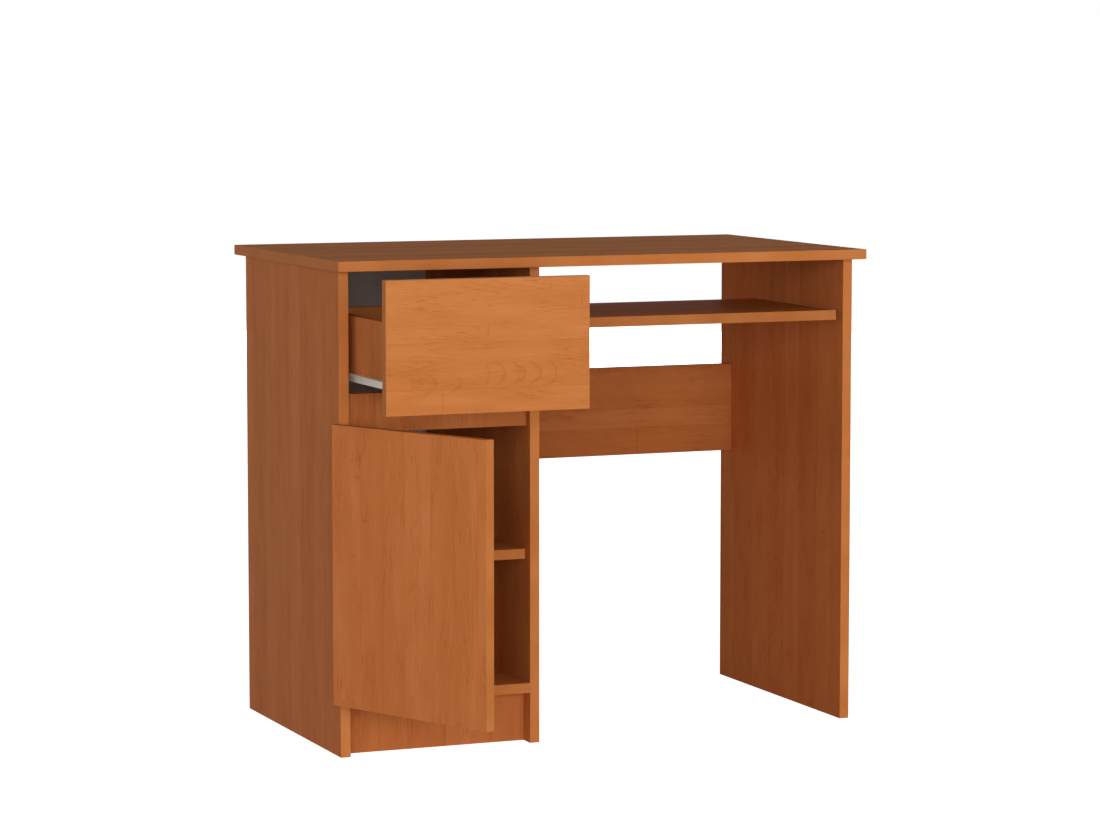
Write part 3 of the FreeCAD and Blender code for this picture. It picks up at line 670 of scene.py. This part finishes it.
def dress(frame: dict, material: Material, *nodes: str) -> None:
    """Gives CAD nodes a finished material.

    Args:
        material: the finish.
        nodes: the nodes that get it.
    """
    for name in nodes:
        for slot in frame["nodes"][name].material_slots:
            slot.material = material
        log.info("%s: %s", name, material.name)


def body_of(frame: dict, node: str) -> str:
    """Names the body that a CAD node rides on."""
    return frame["nodes"][node].parent.name.removeprefix("body:")


def solids_of(frame: dict, node: str) -> list[list[Vector]]:
    """Splits a CAD node into its separate solids.

    Args:
        node: the node's name.

    Returns:
        Each solid's corners.
    """
    shape = bmesh.new()
    shape.from_mesh(frame["nodes"][node].data)
    bmesh.ops.remove_doubles(shape, verts=shape.verts, dist=0.001 * MM)
    solids, seen = [], set()
    for first in shape.verts:
        if first in seen:
            continue
        seen.add(first)
        joined = [first]
        for vert in joined:
            for edge in vert.link_edges:
                other = edge.other_vert(vert)
                if other not in seen:
                    seen.add(other)
                    joined.append(other)
        solids.append([vert.co.copy() for vert in joined])
    shape.free()
    return solids


def middle_of(points: list[Vector]) -> Vector:
    """Finds the middle of the box round some points."""
    return Vector([(min(p[i] for p in points) + max(p[i] for p in points)) / 2 for i in range(3)])


def turn_down(shape: Form, rim: list[Edge], steps: list[Pair]) -> None:
    """Turns a profile below a ring of edges and closes its lower end.

    Args:
        shape: the mesh that has the ring, round the Z axis.
        rim: the ring's edges.
        steps: radius and depth of each ring below it, in mm.
    """
    for radius, depth in steps:
        made = bmesh.ops.extrude_edge_only(shape, edges=rim)["geom"]
        ring = {part for part in made if isinstance(part, bmesh.types.BMVert)}
        rim = [part for part in made if isinstance(part, Edge) and ring.issuperset(part.verts)]
        for vert in ring:
            spoke = vert.co.xy.normalized() * radius * MM
            vert.co = (spoke.x, spoke.y, -depth * MM)
    bmesh.ops.contextual_create(shape, geom=rim)


def close_outline(shape: Form, points: list[Point]) -> tuple[list, list[Edge]]:
    """Joins points to a closed outline in a mesh, and gives its corners and edges."""
    corners = [shape.verts.new(point) for point in points]
    return corners, [shape.edges.new(pair) for pair in zip(corners, corners[1:] + corners[:1])]


def mesh_of(name: str, form: Form) -> bpy.types.Mesh:
    """Makes a mesh of a form.

    Args:
        name: the mesh's name.
        form: the form, which is freed.

    Returns:
        The mesh.
    """
    mesh = bpy.data.meshes.new(name)
    form.to_mesh(mesh)
    form.free()
    return mesh


def add_object(name: str, data: bpy.types.ID) -> bpy.types.Object:
    """Puts a new object into the scene.

    Args:
        name: the object's name.
        data: its mesh, light or camera.

    Returns:
        The object.
    """
    made = bpy.data.objects.new(name, data)
    bpy.context.scene.collection.objects.link(made)
    return made


def repeat(form: Form, places: list[Matrix]) -> Form:
    """Puts copies of a form at several places.

    Args:
        form: the form, which is freed.
        places: where each copy goes.

    Returns:
        The copies in one mesh.
    """
    pattern = mesh_of("pattern", form)
    whole = bmesh.new()
    for place in places:
        before = len(whole.verts)
        whole.from_mesh(pattern)
        bmesh.ops.transform(whole, matrix=place, verts=list(whole.verts)[before:])
    bpy.data.meshes.remove(pattern)
    return whole


def keep_piece(shape: Form, name: str, body: str, material: Material, node: str = "") -> None:
    """Makes a finished piece of a mesh.

    Args:
        shape: the mesh, in the frame's coordinates, which is freed.
        name: the piece's name.
        body: the body it rides on.
        material: its finish.
        node: the CAD node it stands for, if any.
    """
    bmesh.ops.recalc_face_normals(shape, faces=shape.faces)
    mesh = mesh_of(name, shape)
    mesh.shade_smooth()
    mesh.set_sharp_from_angle(angle=math.radians(30))
    mesh.materials.append(material)
    piece = add_object(name, mesh)
    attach(piece, body)
    if node:
        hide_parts(node)
    log.info("%s on %s: %s", name, body, material.name)


@dataclass(frozen=True)
class CrossHead:
    """A round face with a cross recess: its radius, the recess's reach, half width and depth, in mm.

    The recess's floor has a share of its size at the face.
    """

    radius: float
    arm: float
    half: float
    depth: float
    sides: int = 24
    floor_share: float = 0.7

    def turn(self, steps: list[Pair]) -> Form:
        """Turns the head, its face looking up at the origin.

        Args:
            steps: radius and depth of each ring below the face, in mm.

        Returns:
            The mesh.
        """
        shape = bmesh.new()
        bmesh.ops.create_circle(shape, cap_ends=True, segments=self.sides, radius=self.radius * MM)
        rim = list(shape.edges)
        face = list(shape.faces)[0]
        bmesh.ops.inset_region(shape, faces=[face], thickness=0.1 * MM)
        for vert in face.verts:
            spoke = vert.co.xy.normalized()
            run, rise = max(abs(spoke.x), 1e-6), max(abs(spoke.y), 1e-6)
            reach = max(min(self.arm / run, self.half / rise), min(self.half / run, self.arm / rise)) * MM
            vert.co = (spoke.x * reach, spoke.y * reach, 0.0)
        floor = bmesh.ops.extrude_discrete_faces(shape, faces=[face])["faces"][0]
        for vert in floor.verts:
            vert.co = (vert.co.x * self.floor_share, vert.co.y * self.floor_share, -self.depth * MM)
        turn_down(shape, rim, steps)
        return shape


@dataclass(frozen=True)
class Screw:
    """A flat-headed wood screw with a cross recess, sunk flush; sizes in mm."""

    head: CrossHead = CrossHead(3.05, 1.9, 0.5, 1.1)
    head_radius: float = 3.2
    head_edge: float = 0.15
    head_depth: float = 0.6
    shank: float = 1.6
    taper: float = 3.5
    tip: float = 0.2

    def fit(self, frame: dict, node: str, axis: Vector, material: Material) -> None:
        """Puts screws where a CAD node has plain pegs.

        Args:
            node: the pegs' node.
            axis: the line they lie along, either way round.
            material: the screws' finish.
        """
        places, length, near = [], 0.0, 0.05 * MM
        for peg in solids_of(frame, node):
            middle = sum(peg, Vector()) / len(peg)
            low, high = min(p.dot(axis) for p in peg), max(p.dot(axis) for p in peg)
            thick = [max((p - middle - axis * (p - middle).dot(axis)).length for p in peg
                         if abs(p.dot(axis) - end) < near) for end in (low, high)]
            end, out = (high, axis) if thick[1] > thick[0] else (low, -axis)
            face = middle + axis * (end - middle.dot(axis))
            places.append(Matrix.Translation(face) @ out.to_track_quat("Z", "X").to_matrix().to_4x4())
            length = (high - low) / MM
        form = self.head.turn([(self.head_radius, self.head_edge), (self.head_radius, self.head_depth),
                               (self.shank, self.head_depth), (self.shank, length - self.taper),
                               (self.tip, length)])
        keep_piece(repeat(form, places), f"{node}_cross_headed", body_of(frame, node),
                   material, node)


@dataclass(frozen=True)
class Roller:
    """A moulded roller: a tyre with rounded shoulders, dished on both sides of its web.

    Its bore is in mm, and the others are shares of its radius.
    """

    bore: float = 2.65
    hub: float = 0.14
    rim: float = 0.17
    dish: float = 0.11
    shoulder: float = 0.1
    round_off: float = 0.3
    steps: int = 40

    def fit(self, frame: dict, node: str, material: Material) -> None:
        """Puts a moulded roller where the CAD has a plain one.

        Args:
            node: the plain roller's node.
            material: the roller's finish.
        """
        low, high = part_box(node)
        centre, radius, half = (low + high) / 2, (high.z - low.z) / 2, (high.x - low.x) / 2
        bore, hub = self.bore * MM, self.bore * MM + self.hub * radius
        rim, dish, shoulder = radius * (1 - self.rim), self.dish * radius, self.shoulder * radius
        cut = shoulder * self.round_off
        side = [(bore, 0.0), (hub, 0.0), (hub + dish / 2, dish), (rim - dish / 2, dish), (rim, 0.0),
                (radius - shoulder, 0.0), (radius - cut, cut), (radius, shoulder)]
        outline = [(depth - half, 0.0, reach) for reach, depth in side]
        outline += [(half - depth, 0.0, reach) for reach, depth in side[::-1]]
        shape = bmesh.new()
        corners, edges = close_outline(shape, outline)
        bmesh.ops.spin(shape, geom=corners + edges, axis=(1, 0, 0), cent=(0, 0, 0), angle=math.tau,
                       steps=self.steps, use_merge=True)
        bmesh.ops.translate(shape, verts=shape.verts, vec=centre)
        keep_piece(shape, f"{node}_moulded", body_of(frame, node), material, node)


@dataclass(frozen=True)
class Cam:
    """A knock-down cam: a plate with a cross recess on a drum that is open towards its bolt; sizes in mm."""

    head: CrossHead = CrossHead(7.0, 3.6, 0.8, 1.6, 32)
    radius: float = 7.4
    edge: float = 0.4
    depth: float = 12.5
    plate: float = 2.6
    wall: float = 1.8
    opening: float = math.radians(80)
    steps: int = 28

    def fit(self, frame: dict, node: str, bolts: str, material: Material) -> None:
        """Puts cast cams where the CAD has plain ones.

        Args:
            node: the plain cams' node.
            bolts: their bolts' node.
            material: the cams' finish.
        """
        bolt_middles = [middle_of(bolt) for bolt in solids_of(frame, bolts)]
        places = []
        for plain in solids_of(frame, node):
            middle = middle_of(plain)
            bolt = min(bolt_middles, key=lambda place: (place - middle).length)
            sizes = [max(p[i] for p in plain) - min(p[i] for p in plain) for i in range(3)]
            axis = sizes.index(min(sizes))
            out = Vector((0.0, 0.0, 0.0))
            out[axis] = 1.0 if bolt[axis] < middle[axis] else -1.0
            to_bolt = bolt - middle
            to_bolt[axis] = 0.0
            to_bolt.normalize()
            turned = Matrix((to_bolt, out.cross(to_bolt), out)).transposed().to_4x4()
            places.append(Matrix.Translation(middle + out * sizes[axis] / 2) @ turned)
        keep_piece(repeat(self._form(), places), f"{node}_cross_headed", body_of(frame, node),
                   material, node)

    def _form(self) -> Form:
        """Casts one cam, its plate looking up at the origin and its opening towards +X.

        Returns:
            The mesh.
        """
        shape = self.head.turn([(self.radius, self.edge), (self.radius, self.plate)])
        inner, outer = self.radius - self.wall, self.radius
        section = [(inner, self.plate), (outer, self.plate), (outer, self.depth), (inner, self.depth)]
        turn = Matrix.Rotation(self.opening / 2, 3, "Z")
        corners, first = close_outline(shape, [turn @ Vector((reach * MM, 0.0, -depth * MM))
                                               for reach, depth in section])
        last = bmesh.ops.spin(shape, geom=corners + first, axis=(0, 0, 1), cent=(0, 0, 0),
                              angle=math.tau - self.opening, steps=self.steps)["geom_last"]
        bmesh.ops.contextual_create(shape, geom=first)
        bmesh.ops.contextual_create(shape, geom=[part for part in last if isinstance(part, Edge)])
        return shape


@dataclass(frozen=True)
class Nails:
    """Flat-headed nails along three edges of the hardboard back; sizes in mm.

    Their head and shank are radius and depth of each ring below the face.
    """

    inset: float = 6.5
    up_the_sides: int = 6
    along_the_bottom: int = 3
    sides: int = 16
    face: float = 1.1
    proud: float = 0.5
    head: tuple[Pair, ...] = ((1.8, 0.15), (2.0, 0.35), (2.0, 0.5))
    shank: tuple[Pair, ...] = ((0.7, 0.5), (0.7, 13.0), (0.1, 15.0))

    def fit(self, sheet: str, body: str, material: Material) -> None:
        """Nails the sheet on from behind.

        Args:
            sheet: the sheet's node.
            body: the body it rides on.
            material: the nails' finish.
        """
        low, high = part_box(sheet)
        inset = self.inset * MM
        left, right, bottom, top = low.x + inset, high.x - inset, low.z + inset, high.z - inset
        spots = [(x, bottom + (top - bottom) * (number + 0.5) / self.up_the_sides)
                 for x in (left, right) for number in range(self.up_the_sides)]
        spots += [(left + (right - left) * (number + 0.5) / self.along_the_bottom, bottom)
                  for number in range(self.along_the_bottom)]
        form = bmesh.new()
        bmesh.ops.create_circle(form, cap_ends=True, segments=self.sides, radius=self.face * MM)
        turn_down(form, list(form.edges), [*self.head, *self.shank])
        back = Matrix.Rotation(math.radians(-90), 4, "X")
        places = [Matrix.Translation((x, high.y + self.proud * MM, z)) @ back for x, z in spots]
        keep_piece(repeat(form, places), f"{sheet}_nails", body, material)


@dataclass
class Carcass:
    """The top, the uprights and the boards between them."""

    left_marks: Marks = (Arches(40.0, 150.0, -355.0, 26.0, 22.0, 1.2, 0.2),
                         Arches(470.0, 600.0, -300.0, 30.0, 30.0, 1.6, 0.16),
                         Knot(420.0, -180.0, strength=0.2), Knot(150.0, -350.0, strength=0.2))
    right_marks: Marks = (Arches(60.0, 230.0, 568.0, 28.0, 25.0, 1.2, 0.22),
                          Arches(330.0, 460.0, 480.0, 24.0, 30.0, 1.6, 0.18),
                          Knot(232.0, 566.0, (5.0, 9.0)), Knot(420.0, 585.0), Knot(300.0, 395.0))
    modesty_staves: tuple[Pair, ...] = ((46, 0.44), (33, 0.57), (71, 0.49))
    modesty_marks: Marks = (Butt(246.0, 0.0, 46.0),)
    upright_raw: tuple[Point, ...] = (BACK, UNDER)

    def dress(self, frame: dict) -> None:
        """Gives the fixed boards their finishes.
        """
        for node, finish in self._boards().items():
            dress(frame, finish.build(), node)
        # the cupboard band's 0.94 is painted shade for its edges inside the cupboard
        for name, shade in (("desk_top", 0.95), ("side_panel", 1.0), ("cupboard", 0.94)):
            dress(frame, EdgeBand(name, shade).build(), f"{name}_edging")
        dress(frame, Hardboard("hardboard_back", BACK).build(), "cupboard_back_panel")
        steel, zinc = PLATED_STEEL.build(), CAST_ZINC.build()
        dress(frame, steel, "shelf_pins", "cam_bolts")
        dress(frame, zinc, "cam_fittings")
        Cam().fit(frame, "cam_fittings", "cam_bolts", zinc)
        Nails().fit("cupboard_back_panel", body_of(frame, "cupboard_back_panel"), steel)
        dress(frame, BEECH.build(), "panel_dowels", "drawer_dowels")

    def _boards(self) -> dict[str, AlderDecor]:
        """Picks each board's stretch of the print.

        Returns:
            The decor of each board.
        """
        raw = self.upright_raw
        return {
            "desk_top": AlderDecor("top", Grain.ALONG_X, shift=300, start=-40, shade=1.06, specular=0.002),
            "left_side_panel": AlderDecor("left", Grain.UPRIGHT, shift=900, start=15, raw_sides=raw,
                                          shade=0.97, specular=0.016, marks=self.left_marks, **RUDDY),
            "partition_panel": AlderDecor("partition", Grain.UPRIGHT, shift=2100, start=33, raw_sides=raw),
            # the right upright's 0.9 is painted shade for its inner face in the kneehole, and darkens its
            # outer face too
            "right_side_panel": AlderDecor("right", Grain.UPRIGHT, shift=3700, start=8, raw_sides=raw,
                                           shade=0.9, marks=self.right_marks, **RUDDY),
            # the modesty panel's 0.69 is painted shade for the back of the kneehole, under the top and the
            # keyboard shelf
            "modesty_panel": AlderDecor("modesty", Grain.ALONG_X, shift=5200, start=730, shade=0.69,
                                        staves=self.modesty_staves, marks=self.modesty_marks, **RUDDY),
            "bottom_board": AlderDecor("bottom", Grain.ALONG_X, shift=6100, raw_sides=(BACK,)),
            "cupboard_shelf": AlderDecor("shelf", Grain.ALONG_X, shift=7300, raw_sides=(BACK,)),
            # the rail's 0.9 is painted shade for its recess under the pulled-out drawer
            "front_rail": AlderDecor("rail", Grain.UPRIGHT, shift=8800, start=20, shade=0.9, **RUDDY),
            # the plinth's 0.87 is painted shade for its recess below the door
            "plinth": AlderDecor("plinth", Grain.UPRIGHT, shift=9900, start=41, raw_sides=(UNDER,),
                                 shade=0.87, **RUDDY),
        }


@dataclass
class Drawer:
    """The pulled-out drawer: a front on a box with a hardboard bottom."""

    front_staves: tuple[Pair, ...] = ((36, 0.53), (70, 0.48), (96, 0.58))
    front_marks: Marks = (Butt(-174.0, 180.0, 202.0), Butt(-123.0, 156.0, 180.0), Butt(-348.0, 2.0, 34.0),
                          Arches(-280.0, -155.0, 57.0, 20.0, 28.0, strength=0.34),
                          Arches(-400.0, -318.0, 46.0, 22.0, 40.0, 1.4, 0.24),
                          Knot(-275.0, 122.0, (3.0, 11.0), 0.24), Knot(-291.0, 126.0, (2.0, 4.0), 0.2))

    def dress(self, frame: dict) -> None:
        """Gives the drawer's boards their finishes.
        """
        low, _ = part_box("drawer_front")
        front = AlderDecor("drawer_front", Grain.ALONG_X, shift=150, start=(low.y + low.z) / MM,
                           staves=self.front_staves, marks=self.front_marks)
        dress(frame, front.build(), "drawer_front")
        for side, shift, start in (("left", 10400, 60), ("right", 11600, 20)):
            board = AlderDecor(f"drawer_{side}", Grain.UPRIGHT, shift=shift, start=start, shade=1.03, **RUDDY)
            dress(frame, board.build(), f"drawer_{side}_side")
        dress(frame, AlderDecor("drawer_back", Grain.ALONG_X, shift=12300).build(), "drawer_back")
        dress(frame, EdgeBand("drawer", 0.92).build(), "drawer_front_edging")
        dress(frame, Hardboard("hardboard_bottom", UNDER).build(), "drawer_bottom")


@dataclass
class KeyboardShelf:
    """The sliding shelf under the top."""

    shift: float = 13700.0
    raw_sides: tuple[Point, ...] = (RIGHT, LEFT, BACK)

    def dress(self, frame: dict) -> None:
        """Gives the shelf its finishes.
        """
        # the shelf's 0.72 is painted shade for its place under the desk top
        board = AlderDecor("keyboard_shelf", Grain.ALONG_X, shift=self.shift, shade=0.72,
                           raw_sides=self.raw_sides)
        dress(frame, board.build(), "keyboard_shelf")
        # the band's 0.79 is painted shade for the shelf's front edge under the desk top
        dress(frame, EdgeBand("keyboard_shelf", 0.79).build(), "keyboard_shelf_edging")


@dataclass
class Door:
    """The cupboard door, standing open on two butt hinges; the place of their pins is in metres."""

    opening: float = math.radians(65.5)
    pin: Pair = (-0.443, -0.09025)
    staves: tuple[Pair, ...] = ((62, 0.53), (47, 0.43), (48, 0.47), (54, 0.57), (49, 0.45), (48, 0.52),
                                (20, 0.60))
    marks: Marks = (Knot(468.0, 45.0), Knot(444.0, 55.0, (5.0, 11.0)), Knot(378.0, 70.0), Knot(323.0, 45.0))

    def dress(self, frame: dict) -> None:
        """Gives the door and its hinges their finishes.
        """
        board = AlderDecor("door", Grain.UPRIGHT, shift=14900, start=-12.0, shade=1.03, staves=self.staves,
                           marks=self.marks, turn=-self.opening, pivot=(*self.pin, 0.0), **RUDDY)
        dress(frame, board.build(), "door_panel")
        dress(frame, EdgeBand("door").build(), "door_edging")
        steel = PLATED_STEEL.build()
        for part in ("leaf_upright", "leaf_door", "pin"):
            dress(frame, steel, f"hinge_{part}_upper", f"hinge_{part}_lower")
        dress(frame, steel, "hinge_screws_upright", "hinge_screws_door")
        turned = Matrix.Rotation(-self.opening, 3, "Z")
        Screw().fit(frame, "hinge_screws_upright", Vector(BACK), steel)
        Screw().fit(frame, "hinge_screws_door", turned @ Vector(BACK), steel)


@dataclass
class Slides:
    """The roller slides of the drawer and the keyboard shelf."""

    carried: tuple[str, ...] = ("drawer", "keyboard")
    sides: tuple[str, ...] = ("left", "right")

    def dress(self, frame: dict) -> None:
        """Gives the slides, rollers and their screws their finishes.
        """
        sheet, plastic, steel = SLIDE_COAT.build(), ROLLER_PLASTIC.build(), PLATED_STEEL.build()
        for piece in self.carried:
            for side in self.sides:
                dress(frame, sheet, f"{piece}_channel_{side}", f"{piece}_runner_{side}")
                for place in ("front", "rear"):
                    dress(frame, plastic, f"{piece}_{place}_roller_{side}")
                    Roller().fit(frame, f"{piece}_{place}_roller_{side}", plastic)
            dress(frame, steel, f"{piece}_runner_rivets")
        dress(frame, steel, "channel_rivets")
        for node in ("channel_screws", *(f"{piece}_runner_screws" for piece in self.carried)):
            dress(frame, steel, node)
            Screw().fit(frame, node, Vector(RIGHT), steel)


@dataclass(frozen=True)
class Lamp:
    """A soft box: its bearing from the desk's front to its left and its height, both in degrees.

    Its size is in metres and its power in watts.
    """

    name: str
    bearing: float
    height: float
    size: Pair
    power: float


@dataclass
class Studio:
    """A white studio: a broad soft box in front, weaker ones at the sides and behind, a pale floor.

    A weak fill comes from all round and is strongest from above.
    """

    lamps: tuple[Lamp, ...] = (Lamp("front", 11.0, 8.0, (7.3, 2.9), 432.0),
                               Lamp("left", 70.0, 15.0, (6.7, 3.3), 94.0),
                               Lamp("right", -60.0, 15.0, (6.7, 3.3), 96.0),
                               Lamp("back", 180.0, 3.0, (6.7, 1.6), 130.0),
                               Lamp("back_right", -140.0, 6.0, (6.7, 2.2), 200.0))
    distance: float = 8.0
    fill: float = 0.02
    fill_above: float = 0.1
    target: Point = (0.0, 0.1, 0.4)
    floor_radius: float = 40.0
    floor_sides: int = 96
    floor_level: float = -0.0005
    floor_glow: float = 0.95

    def build(self) -> None:
        """Sets up the lamps, the surrounding light and the floor."""
        for lamp in self.lamps:
            self._hang(lamp)
        self._world()
        self._floor()

    def _hang(self, lamp: Lamp) -> None:
        """Hangs one soft box, turned to the desk.

        Args:
            lamp: where it is, how big and how strong.
        """
        light = bpy.data.lights.new(lamp.name, "AREA")
        light.shape = "RECTANGLE"
        light.size, light.size_y = lamp.size
        light.energy = lamp.power
        bearing, height = math.radians(lamp.bearing), math.radians(lamp.height)
        reach = self.distance * math.cos(height)
        offset = Vector((-reach * math.sin(bearing), -reach * math.cos(bearing),
                         self.distance * math.sin(height)))
        hung = add_object(lamp.name, light)
        hung.location = Vector(self.target) + offset
        hung.rotation_euler = (-offset).to_track_quat("-Z", "Y").to_euler()
        hung.visible_glossy = False

    def _world(self) -> None:
        """Gives the weak fill, and looks white to the eye and in reflections."""
        world = bpy.data.worlds.new("studio")
        world.use_nodes = True
        tree = world.node_tree
        tree.nodes.clear()
        way = add_node(tree, "SeparateXYZ", {0: add_node(tree, "TexCoord").outputs["Generated"]})
        level = add_node(tree, "MapRange", {"Value": way.outputs["Z"], "To Min": self.fill,
                                            "To Max": self.fill_above})
        strength = add_node(tree, "Mix", {"Factor": self._seen(tree), 2: level, 3: 1.0})
        back = add_node(tree, "Background", {"Color": linear("#FFFFFF"), "Strength": strength})
        add_node(tree, "OutputWorld", {"Surface": back})
        bpy.context.scene.world = world

    @staticmethod
    def _seen(tree: Tree) -> Node:
        """Tells the rays that show a background from those that light the desk.

        Args:
            tree: the node tree that asks.

        Returns:
            1 for camera, glossy and transmission rays.
        """
        rays = add_node(tree, "LightPath").outputs
        either = add_node(tree, "Math", {0: rays["Is Camera Ray"], 1: rays["Is Glossy Ray"]},
                          operation="MAXIMUM")
        return add_node(tree, "Math", {0: either, 1: rays["Is Transmission Ray"]}, operation="MAXIMUM")

    def _floor(self) -> None:
        """Lays a floor of pale matt paint that keeps the desk's soft shadow."""
        shape = bmesh.new()
        bmesh.ops.create_circle(shape, cap_ends=True, segments=self.floor_sides, radius=self.floor_radius)
        floor = add_object("floor", mesh_of("floor", shape))
        floor.location.z = self.floor_level
        material, tree = new_material("painted_floor")
        place = add_node(tree, "TexCoord").outputs["Object"]
        mottle = add_node(tree, "TexNoise", {"Vector": place, "Scale": 60.0})
        tint = add_node(tree, "ValToRGB", {"Fac": mottle})
        set_stops(tint, [(0.3, linear("#EDEDED")), (0.7, linear("#F0F0F0"))])
        paint = add_node(tree, "BsdfDiffuse", {"Color": tint})
        glow = add_node(tree, "Math", {0: self._seen(tree), 1: self.floor_glow}, operation="MULTIPLY")
        light = add_node(tree, "Emission", {"Strength": glow})
        both = add_node(tree, "AddShader", {0: paint, 1: light})
        add_node(tree, "OutputMaterial", {"Surface": both})
        floor.data.materials.append(material)


@dataclass
class Eye:
    """The camera: at chest height, to the left of the desk, looking slightly down."""

    place: Point = (-2.2577, -5.2981, 1.0879)
    turn: float = math.radians(-22.594)
    tilt: float = math.radians(5.705)
    sensor: float = 36.0
    lens: float = 118.25

    def build(self) -> None:
        """Sets up the camera."""
        lens = bpy.data.cameras.new("eye")
        lens.sensor_fit = "HORIZONTAL"
        lens.sensor_width = self.sensor
        lens.lens = self.lens
        eye = add_object("eye", lens)
        eye.location = self.place
        eye.rotation_euler = (math.radians(90) - self.tilt, 0.0, self.turn)
        bpy.context.scene.camera = eye


def main() -> None:
    """Loads the frame, dresses every sub-assembly, and sets up the studio and the camera."""
    logging.basicConfig(level=logging.INFO, format="%(name)s %(message)s")
    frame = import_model()
    for assembly in (Carcass(), Drawer(), KeyboardShelf(), Door(), Slides()):
        assembly.dress(frame)
        log.info("dressed %s", type(assembly).__name__)
    Studio().build()
    Eye().build()
    bpy.context.scene.view_settings.view_transform = "Standard"


if __name__ == "__main__":
    main()
